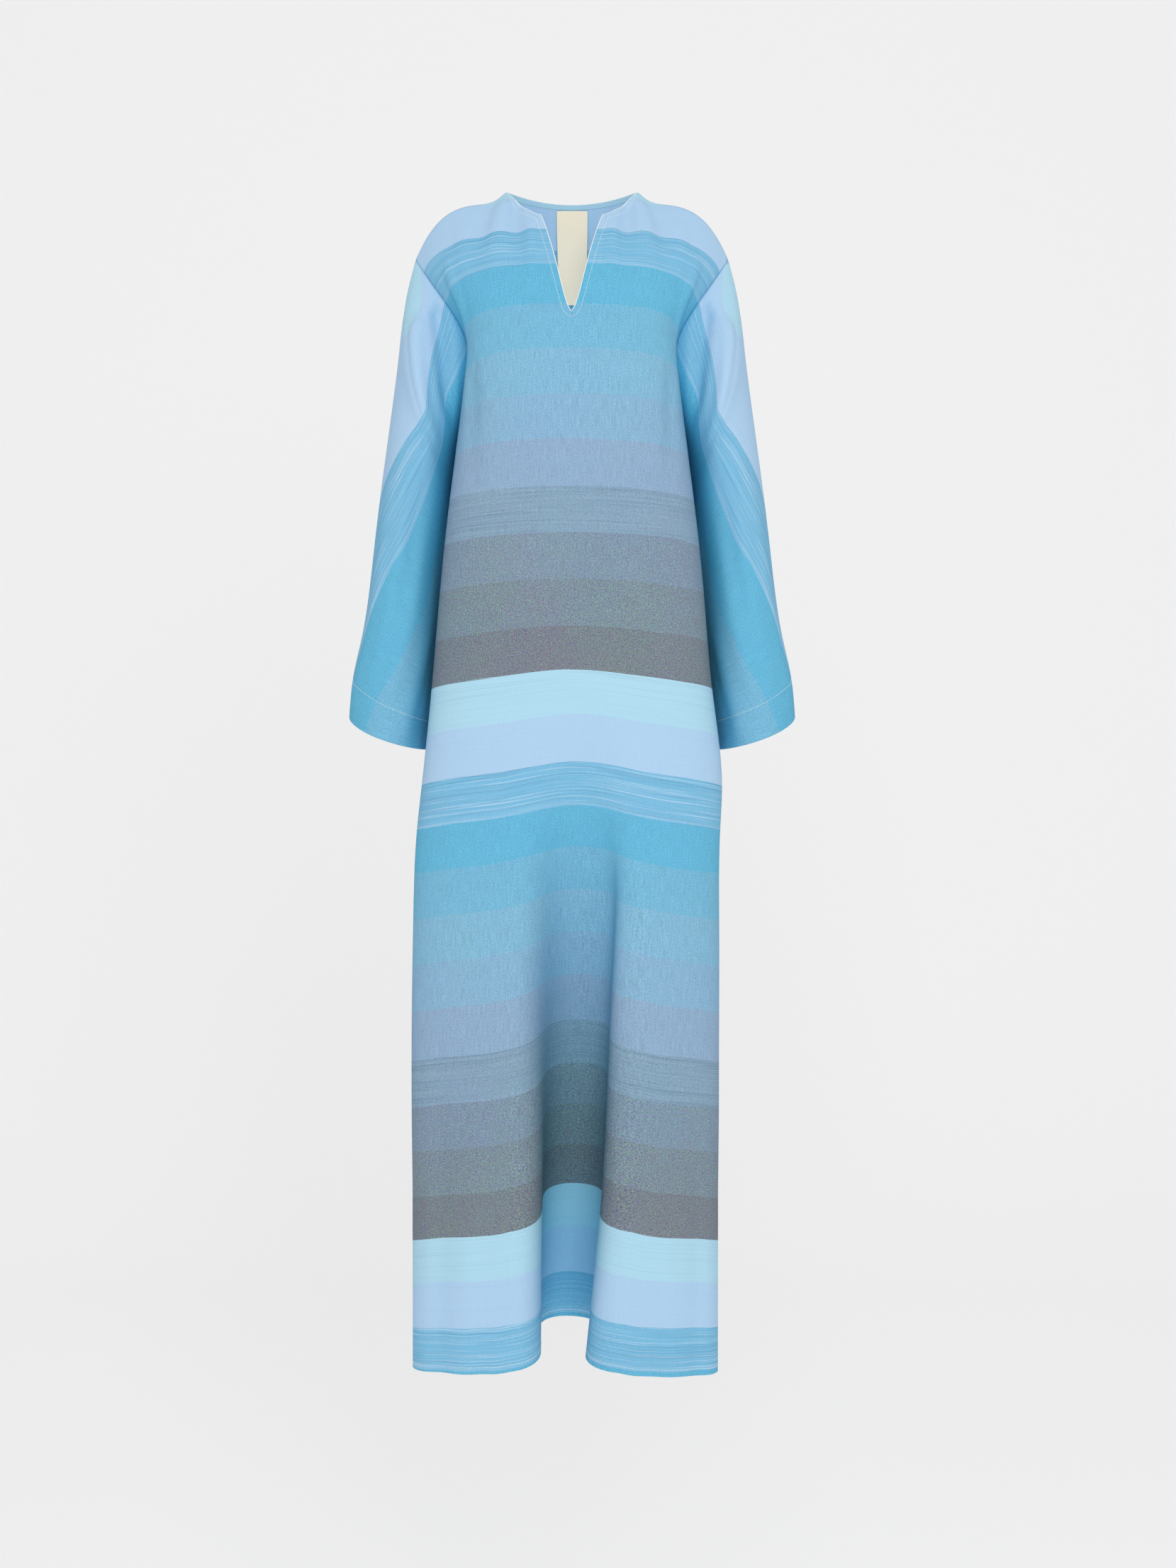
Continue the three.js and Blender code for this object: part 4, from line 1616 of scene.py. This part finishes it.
@dataclass(frozen=True)
class Thread:
    """Sewing thread laid in even stitches.

    Attributes:
        pitch: From one stitch to the next, in millimetres.
        stitch: A stitch's length.
        radius: The thread's radius.
        sides: Sides of its section.
        rings: Each ring of a stitch: how far along it is, as a share, and its width and height, in
            radii.
        look: How far to both sides the line's direction is read.
    """

    pitch: float = 3.2
    stitch: float = 2.5
    radius: float = 0.24
    sides: int = 6
    rings: Sequence[tuple[float, float, float]] = (
        (0.0, 0.25, -0.5),
        (0.2, 0.95, 0.25),
        (0.8, 0.95, 0.25),
        (1.0, 0.25, -0.5),
    )
    look: float = 0.2

    def run(self, places: Array, normals: Array) -> MeshDraft:
        """Stitches along a line on the cloth.

        Args:
            places: (n, 3) the line, on the cloth's face.
            normals: (n, 3) the cloth's normals there.

        Returns:
            The stitches as one draft.
        """
        steps = np.linalg.norm(np.diff(places, axis=0), axis=1)
        walked = np.concatenate([[0.0], np.cumsum(steps)])
        starts = np.arange(0, walked[-1] - self.stitch, self.pitch)

        def read(values: Array, at: Array) -> Array:
            """Values along the line at walked distances."""
            return np.stack([np.interp(at, walked, values[:, i]) for i in range(3)], -1)

        tubes = []
        for share, width, height in self.rings:
            at = starts + share * self.stitch
            centre, normal = read(places, at), unit(read(normals, at))
            along = unit(read(places, at + self.look) - read(places, at - self.look))
            across = unit(np.cross(along, normal))
            centre = centre + normal * self.radius * height
            tubes.append(ring(centre, across, normal, self.radius * width, self.sides))
        points = np.stack(tubes, 1).reshape(-1, 3)
        first = np.arange(len(starts)) * len(self.rings) * self.sides
        faces = (first[:, None, None] + tube_faces(len(self.rings), self.sides)).reshape(-1, 4)
        return loose_draft(points, faces)


def ring(centre: Array, across: Array, upward: Array, radius: float, sides: int) -> Array:
    """Points around each place of a line.

    Args:
        centre: (n, 3) the places.
        across: (n, 3) directions square to the line.
        upward: (n, 3) directions square to both.
        radius: The ring's radius.
        sides: How many points it has.

    Returns:
        (n, sides, 3) points.
    """
    angles = np.arange(sides) * 2 * np.pi / sides
    return np.stack(
        [centre + radius * (across * math.cos(a) + upward * math.sin(a)) for a in angles], 1
    )


def tube_faces(rings: int, sides: int) -> Array:
    """The faces between the rings of a tube that is open at its ends.

    Args:
        rings: How many rings it has.
        sides: How many points are in a ring.

    Returns:
        (faces, 4) point numbers.
    """
    start = (np.arange(rings - 1) * sides)[:, None]
    corner = np.arange(sides)[None, :]
    following = (corner + 1) % sides
    return np.stack(
        [start + corner, start + following, start + sides + following, start + sides + corner], -1
    ).reshape(-1, 4)


def loose_draft(points: Array, faces: Array) -> MeshDraft:
    """A draft of thread, which lies on no loom and near no seam."""
    return MeshDraft(points, faces, points[:, [0, 2]], np.full(len(points), SEWING.far))


def cord(places: Array, normals: Array, radius: float, sides: int = CORD_SIDES) -> MeshDraft:
    """A thin round cord along a line.

    Args:
        places: (n, 3) its middle.
        normals: (n, 3) any directions square to it.
        radius: Its radius, in millimetres.
        sides: Sides of its section.

    Returns:
        The cord, open at its ends.
    """
    along = unit(np.gradient(places, axis=0))
    across = unit(np.cross(along, normals))
    points = ring(places, across, np.cross(across, along), radius, sides).reshape(-1, 3)
    return loose_draft(points, tube_faces(len(places), sides))


def joined(drafts: Sequence[MeshDraft]) -> MeshDraft:
    """Joins drafts into one.

    Args:
        drafts: The drafts.

    Returns:
        One draft.
    """
    offsets = np.cumsum([0] + [len(d.points) for d in drafts[:-1]])
    return MeshDraft(
        np.concatenate([d.points for d in drafts]),
        np.concatenate([d.faces + offset for d, offset in zip(drafts, offsets)]),
        np.concatenate([d.flat for d in drafts]),
        np.concatenate([d.seam for d in drafts]),
    )


# ---------------------------------------------------------------- the garment
FRONT_RIPPLES = (
    Crease((-82, 6), (-86, 55), (-90, 150), 17, 4.2, (0.12, 0.75)),
    Crease((-66, 16), (-64, 60), (-63, 165), 15, -3.6, (0.12, 0.75)),
    Crease((-48, 40), (-46, 90), (-46, 180), 13, 2.6, (0.2, 0.7)),
    Crease((-104, 22), (-108, 70), (-112, 150), 16, -2.6, (0.25, 0.7)),
    Crease((-126, 28), (-131, 70), (-134, 150), 16, 1.8, (0.3, 0.6)),
    Crease((-152, 70), (-150, 125), (-136, 220), 14, 3.4, (0.3, 0.5)),
)
BACK_RIPPLES = (
    Crease((-80, 10), (-86, 70), (-90, 180), 16, 4.2, (0.12, 0.7)),
    Crease((-64, 24), (-62, 90), (-66, 210), 14, -3.6, (0.15, 0.7)),
    Crease((-44, 34), (-42, 100), (-46, 200), 13, 2.2, (0.2, 0.7)),
    Crease((-104, 30), (-112, 90), (-116, 200), 15, -3.0, (0.25, 0.6)),
)
FRONT_DRAPE = (
    Crease((-128, 210), (-120, 300), (-112, 430), 22, -4.0, (0.2, 0.7)),
    Crease((126, 215), (121, 310), (108, 450), 20, -3.6, (0.2, 0.7)),
    Crease((-102, 1010), (-112, 1200), (-118, 1400), 24, 3.0, (0.5, 0.02)),
    Crease((-150, 930), (-146, 1180), (-152, 1400), 22, -3.0, (0.5, 0.02)),
    Crease((112, 980), (118, 1200), (122, 1400), 26, 2.6, (0.5, 0.02)),
    Crease((158, 1010), (160, 1200), (158, 1400), 20, -2.6, (0.5, 0.02)),
)
BACK_DRAPE = (
    Crease((-20, 420), (-26, 800), (-30, 1400), 40, -3.2, (0.4, 0.02)),
    Crease((44, 520), (40, 900), (46, 1400), 34, 3.0, (0.4, 0.02)),
    Crease((-70, 700), (-66, 1000), (-60, 1400), 30, 2.4, (0.4, 0.02)),
)
SLEEVE_FRONT_CREASES = (
    Crease((6, 56), (20, 110), (34, 200), 12, -9.0, (0.15, 0.35)),
    Crease((30, 44), (46, 96), (74, 184), 20, 6.5, (0.2, 0.5)),
    Crease((150, 128), (330, 96), (520, 70), 22, -3.6, (0.35, 0.35)),
    Crease((200, 60), (380, 40), (540, 30), 24, 2.2, (0.4, 0.1)),
    Crease((330, 150), (430, 130), (540, 118), 20, 2.2, (0.4, 0.1)),
    Crease((110, 216), (330, 212), (545, 206), 48, 6.5, (0.3, 0.05)),
)
SLEEVE_BACK_CREASES = (
    Crease((6, 56), (19, 104), (28, 180), 11, -5.5, (0.15, 0.4)),
    Crease((28, 50), (42, 92), (66, 170), 18, 3.6, (0.2, 0.5)),
    Crease((180, 116), (360, 92), (530, 84), 24, -3.4, (0.35, 0.3)),
    Crease((240, 50), (400, 38), (540, 34), 22, 2.0, (0.4, 0.1)),
)


def mirrored(creases: Sequence[Crease]) -> list[Crease]:
    """Creases and their mirror images across the centre line.

    Args:
        creases: The creases of one side.

    Returns:
        Those of both sides.
    """
    flipped = [
        crease._replace(
            start=(-crease.start[0], crease.start[1]),
            bend=(-crease.bend[0], crease.bend[1]),
            end=(-crease.end[0], crease.end[1]),
        )
        for crease in creases
    ]
    return list(creases) + flipped


def sleeve_name(side: Side, face: Face) -> str:
    """The name of one half of a sleeve."""
    return f"sleeve_{face.name.lower()}_{side.name.lower()}"


@dataclass
class Garment:
    """The panels and the sleeves, sewn together."""

    density: Density = Density()
    grids: dict[str, ClothGrid] = field(default_factory=dict)
    pieces: dict[str, bpy.types.Object] = field(default_factory=dict)

    def build(self) -> None:
        """Makes every sheet and sews them along their seams."""
        neck = np.linspace(0, CUT.slit_share, self.density.neck + 1)
        collar = np.linspace(CUT.slit_share, CUT.neck_share, self.density.neck + 1)
        t = np.linspace(0, 1, self.density.shoulder + 1)
        outward = 1 - (1 - t) ** self.density.edge_crowding
        shoulder = CUT.neck_share + (1 - CUT.neck_share) * outward
        columns = np.concatenate([neck, collar[1:], shoulder[1:]])
        self.grids["front"] = front_panel().grid(columns, self.density)
        self.grids["back"] = back_panel().grid(columns, self.density)
        self.close_side_seams()
        self.grids["front"].press([*mirrored(FRONT_RIPPLES), *FRONT_DRAPE], SEWING.body_hold)
        self.grids["back"].press([*mirrored(BACK_RIPPLES), *BACK_DRAPE], SEWING.body_hold)
        for side in Side:
            edge = 0 if side is Side.LEFT else -1
            for face in Face:
                panel = self.grids[face.name.lower()]
                armhole = panel.place[: self.density.armhole + 1, edge].copy()
                sleeve = SleeveHalf(side, face, armhole).grid(self.density)
                creases = SLEEVE_FRONT_CREASES if face is Face.FRONT else SLEEVE_BACK_CREASES
                sleeve.press(creases, SEWING.sleeve_hold)
                self.grids[sleeve_name(side, face)] = sleeve
        self.share_normals()
        for grid in self.grids.values():
            grid.lift = -SEWING.groove * np.exp(-((grid.seam / SEWING.groove_reach) ** 2))

    def close_side_seams(self) -> None:
        """Brings the front's and the back's side edges together, down to the slits."""
        front, back = self.grids["front"], self.grids["back"]
        for edge in (0, -1):
            level = front.flat[:, edge, 1]
            gap = back.place[:, edge] - front.place[:, edge]
            parted = smooth_step(CUT.side_slit, CUT.side_slit + SEWING.slit_ease, level)
            sewn = (level >= CUT.armpit) * (1 - parted)
            for grid, share in ((front, 0.5), (back, -0.5)):
                away = np.abs(grid.flat[:, edge, :1] - grid.flat[..., 0])
                ease = np.exp(-((away / SEWING.side_ease) ** 2)) * sewn[:, None]
                grid.place = grid.place + ease[..., None] * gap[:, None] * share
        front.find_normals()
        back.find_normals()

    def share_normals(self) -> None:
        """Gives border cells that lie on one spot the mean of their normals."""
        spots: dict[tuple, list[tuple[ClothGrid, int, int]]] = {}
        for grid in self.grids.values():
            rows, columns = grid.place.shape[:2]
            border = [(r, c) for r in range(rows) for c in (0, columns - 1)]
            border += [(r, c) for c in range(columns) for r in (0, rows - 1)]
            for r, c in sorted(set(border)):
                spot = tuple(np.round(grid.place[r, c], SPOT_DECIMALS))
                spots.setdefault(spot, []).append((grid, r, c))
        for cells in spots.values():
            mean = unit(sum(grid.normal[r, c] for grid, r, c in cells))
            for grid, r, c in cells:
                grid.normal[r, c] = mean

    def dress(self, body_cotton: Material, sleeve_cotton: Material) -> None:
        """Turns the sheets into pieces.

        Args:
            body_cotton: The cloth of the front and the back.
            sleeve_cotton: The same cloth on the sleeves, which hang without deep folds. Its
            painted fold shade reaches less far, so less shade is painted beside the body.
        """
        for name, grid in self.grids.items():
            outer = grid.lift + SEWING.wall / 2
            inner = -SEWING.wall / 2 - grid.inner_extra
            # The sleeves take the copy whose painted fold shade reaches less far.
            cotton = sleeve_cotton if name.startswith("sleeve") else body_cotton
            piece = make_piece(f"{name}_cloth", wall(grid, outer, inner), cotton)
            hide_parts(name)
            self.pieces[name] = piece


@dataclass(frozen=True)
class NeckFacing:
    """A narrow strip sewn to the inside of the neckline.

    Attributes:
        wall: Its thickness, in millimetres.
        clearance: From the cloth's inner face.
        least_flat: The least side of its flat size, in metres. It is not used.
    """

    wall: float = 0.7
    clearance: float = 0.05
    least_flat: float = 0.010

    def build(self, grid: ClothGrid, face: Face, density: Density, finish: Material) -> None:
        """Makes the facing of one panel.

        Args:
            grid: The panel.
            face: Front or back.
            density: How finely the panel is made.
            finish: The facing's material.
        """
        middle = grid.place.shape[1] // 2
        reach = 2 * density.neck
        rows = slice(0, density.strip + 1)
        columns = slice(middle - reach, middle + reach + 1)
        shape = grid.place[rows, columns].shape[:2]
        strip = ClothGrid(grid.place[rows, columns], grid.flat[rows, columns], grid.flip,
                          np.full(shape, SEWING.far), np.zeros(shape), grid.plan[rows, columns])
        strip.normal = grid.normal[rows, columns]
        outer = np.full(shape, -SEWING.wall / 2 - self.clearance)
        outer += grid.lift[rows, columns]
        draft = wall(strip, outer, outer - self.wall)
        name = f"facing_{face.name.lower()}"
        piece = make_piece(f"{name}_strip", draft, finish)
        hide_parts(name)


@dataclass(frozen=True)
class NeckTape:
    """A bare cotton tape that hangs inside the back, held under the facing.

    Attributes:
        half_width: Half its width, in millimetres.
        length: Its length.
        below: From the facing's lower edge to the tape's upper one.
        wall: Its thickness.
        hang: How much further its lower end stands off the cloth than its upper end.
        near: How far its upper end does.
        curl: How far the sides of its lower end curl away.
        curl_start: Where the curl starts, as a share of the length.
        rows: How many rows it is made of.
        columns: How many columns.
    """

    half_width: float = 19.0
    length: float = 112.0
    below: float = 1.0
    wall: float = 0.8
    hang: float = 3.2
    near: float = 0.7
    curl: float = 0.8
    curl_start: float = 0.5
    rows: int = 57
    columns: int = 21

    def build(self, back: Panel, finish: Material) -> None:
        """Makes the tape.

        Args:
            back: The panel that it hangs in.
            finish: Its material.
        """
        rows, columns = self.rows, self.columns
        top = CUT.back_dip + CUT.back_facing + self.below
        fallen = np.linspace(0, 1, rows)[:, None] * np.ones(columns)
        sideways = np.linspace(-1, 1, columns)[None, :] * np.ones((rows, 1))
        u = sideways * self.half_width / CUT.shoulder_cloth
        level = top + self.length * fallen
        place = back.at(u.ravel(), level.ravel()).reshape(rows, columns, 3)
        flat = np.stack([sideways * self.half_width, level], -1)
        grid = ClothGrid(place, flat, True, np.full(u.shape, SEWING.far), np.zeros(u.shape), flat)
        curl = self.curl * sideways**2 * smooth_step(self.curl_start, 1.0, fallen)
        outer = -SEWING.wall / 2 - self.near - self.hang * fallen - curl
        draft = wall(grid, outer, outer - self.wall)
        piece = make_piece("neck_tape_cloth", draft, finish)
        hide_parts("neck_tape")


@dataclass
class Topstitching:
    """Every visible line of thread on the garment, as one piece.

    Attributes:
        thread: The thread.
        hem_inset: From the hem's edge to its stitches, in millimetres.
        slit_inset: From a side slit's edge to its stitches.
        cuff_share: Where the cuff's stitches are, as a share of the sleeve.
        fold_line: The radius of the pale edge that the neckline's folded cloth shows.
        drafts: The stitches made so far.
    """

    thread: Thread
    hem_inset: float = 8.0
    slit_inset: float = 7.0
    cuff_share: float = 0.913
    fold_line: float = 0.62
    drafts: list[MeshDraft] = field(default_factory=list)

    def sew(self, line: tuple[Array, Array]) -> None:
        """Lays stitches along a line."""
        self.drafts.append(self.thread.run(*line))

    def build(self, garment: Garment, finish: Material) -> bpy.types.Object:
        """Makes all the stitches.

        Args:
            garment: The sewn sheets.
            finish: The thread's material.

        Returns:
            The piece.
        """
        density = garment.density
        for name in ("front", "back"):
            grid = garment.grids[name]
            last_row, last = (size - 1 for size in grid.place.shape[:2])
            middle, reach = last // 2, 2 * density.neck
            neck_columns = np.arange(middle - reach, middle + reach + 1).astype(float)
            edge = slice(middle - reach, middle + reach + 1)
            self.drafts.append(cord(grid.place[0, edge], grid.normal[0, edge], self.fold_line))
            self.sew(grid.read(np.full(len(neck_columns), float(density.strip)), neck_columns))
            self.sew(grid.level_line(grid.flat[-1, :, 1] - self.hem_inset, 0, last))
            slit_row = int(grid.row_at(CUT.side_slit, 0))
            for left in (True, False):
                self.sew(grid.edge_line(self.slit_inset, left, slit_row, last_row))
        for side in Side:
            for face in Face:
                grid = garment.grids[sleeve_name(side, face)]
                columns = np.arange(grid.place.shape[1]).astype(float)
                along = grid.plan[:, 0, 0] / CUT.sleeve_length
                row = float(np.interp(self.cuff_share, along, np.arange(len(along))))
                self.sew(grid.read(np.full(len(columns), row), columns))
        return make_piece("topstitching", joined(self.drafts), finish)


# ---------------------------------------------------------------- the studio
class Lamp(NamedTuple):
    """A square soft lamp: where it stands, what it points at, its side and its power in watts."""

    name: str
    place: tuple[float, float, float]
    target: tuple[float, float, float]
    size: float
    power: float


@dataclass(frozen=True)
class Studio:
    """A pale sweep, soft light and the camera. Lengths are in metres.

    Attributes:
        camera_place: Where the camera stands.
        camera_tilt: How far it looks down, in degrees.
        image_height: The frame's height, in pixels.
        focal_pixels: The camera's focal length, in the same pixels.
        sensor: The sensor's longer side, in millimetres.
        floor_level: The floor's height.
        floor_front: The y of the floor's front edge.
        back_wall: The y of the back wall.
        wall_top: The back wall's height.
        half_width: Half the width of both.
        sweep_radius: The radius of the curve between them.
        sweep_points: How many points the curve has.
        floor_colour: The colour of both.
        surround: How strong the even light from all around is.
        front_lamp: A soft lamp in front of the garment.
        inner_lamp: A small lamp that lights the inside of the neck.
    """

    camera_place: tuple[float, float, float] = (0.019, -2.7, -0.5)
    camera_tilt: float = 4.27
    image_height: float = 2212.0
    focal_pixels: float = 3168.0
    sensor: float = 36.0
    floor_level: float = -2.3
    floor_front: float = -9.0
    back_wall: float = 4.4
    wall_top: float = 7.0
    half_width: float = 9.0
    sweep_radius: float = 1.2
    sweep_points: int = 25
    floor_colour: int = 0xFBFBFB
    surround: float = 0.82
    front_lamp: Lamp = Lamp("front_lamp", (0.3, -3.5, 0.5), (0.0, 0.0, -0.7), 1.6, 52.0)
    inner_lamp: Lamp = Lamp("inner_lamp", (0.0, -0.04, -0.27), (0.0, 0.055, -0.08), 0.12, 0.24)

    def build(self) -> None:
        """Sets up the camera, the sweep and the lights."""
        scene = bpy.context.scene
        scene.view_settings.view_transform = "Standard"
        self.camera()
        self.sweep()
        self.lights()

    def camera(self) -> None:
        """Makes the camera."""
        data = bpy.data.cameras.new("camera")
        data.sensor_width = self.sensor
        data.lens = self.focal_pixels / self.image_height * self.sensor
        camera = bpy.data.objects.new("camera", data)
        camera.location = self.camera_place
        camera.rotation_euler = (math.radians(90 - self.camera_tilt), 0, 0)
        bpy.context.scene.collection.objects.link(camera)
        bpy.context.scene.camera = camera

    def sweep(self) -> None:
        """Makes the floor, which curves up into a back wall."""
        arc = np.linspace(0, np.pi / 2, self.sweep_points)
        r = self.sweep_radius
        ys = [self.floor_front, *(self.back_wall - r + r * np.sin(arc)), self.back_wall]
        zs = [self.floor_level, *(self.floor_level + r - r * np.cos(arc)), self.wall_top]
        points = [(x, y, z) for y, z in zip(ys, zs) for x in (-self.half_width, self.half_width)]
        faces = [(2 * i, 2 * i + 1, 2 * i + 3, 2 * i + 2) for i in range(len(ys) - 1)]
        mesh = bpy.data.meshes.new("floor")
        mesh.from_pydata(points, [], faces)
        mesh.shade_smooth()
        mesh.materials.append(Sketch("pale_floor").finish(linear(self.floor_colour), 1.0, 0.0))
        floor = bpy.data.objects.new("floor", mesh)
        bpy.context.scene.collection.objects.link(floor)

    def lights(self) -> None:
        """Makes the even surround and the two lamps."""
        world = bpy.data.worlds.new("surround")
        world.use_nodes = True
        background = world.node_tree.nodes["Background"]
        background.inputs["Color"].default_value = (1.0, 1.0, 1.0, 1.0)
        background.inputs["Strength"].default_value = self.surround
        bpy.context.scene.world = world
        self.stand_lamp(self.front_lamp)
        self.stand_lamp(self.inner_lamp).visible_camera = False

    def stand_lamp(self, lamp: Lamp) -> bpy.types.Object:
        """Makes a lamp.

        Args:
            lamp: Its place and its sizes.

        Returns:
            The lamp as an object.
        """
        data = bpy.data.lights.new(lamp.name, "AREA")
        data.size = lamp.size
        data.energy = lamp.power
        stood = bpy.data.objects.new(lamp.name, data)
        stood.location = lamp.place
        aim = Vector(lamp.target) - Vector(lamp.place)
        stood.rotation_euler = aim.to_track_quat("-Z", "Y").to_euler()
        bpy.context.scene.collection.objects.link(stood)
        return stood


def main() -> None:
    """Builds the studio and the garment, and reports each piece."""
    logging.basicConfig(level=logging.INFO, format="%(name)s: %(message)s")
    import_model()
    Studio().build()
    finishes = {
        "banded_cotton": BandedCotton().material(),
        # The sleeves' copy paints less fold shade beside the body: its reach is shorter.
        "sleeve_cotton": BandedCotton("sleeve_cotton", fold_shade_reach=0.04).material(),
        "facing_cotton": PlainCotton("facing_cotton", 0xA4CBDD).material(),
        "tape_cotton": PlainCotton("tape_cotton", 0xF4E7CC, fleck=0.05, thread=0.9).material(),
        "thread": PlainCotton("thread", 0xE6E9E4).material(),
    }
    garment = Garment()
    garment.build()
    garment.dress(finishes["banded_cotton"], finishes["sleeve_cotton"])
    for face in Face:
        grid = garment.grids[face.name.lower()]
        NeckFacing().build(grid, face, garment.density, finishes["facing_cotton"])
    NeckTape().build(back_panel(), finishes["tape_cotton"])
    stitches = Topstitching(Thread()).build(garment, finishes["thread"])


if __name__ == "__main__":
    main()
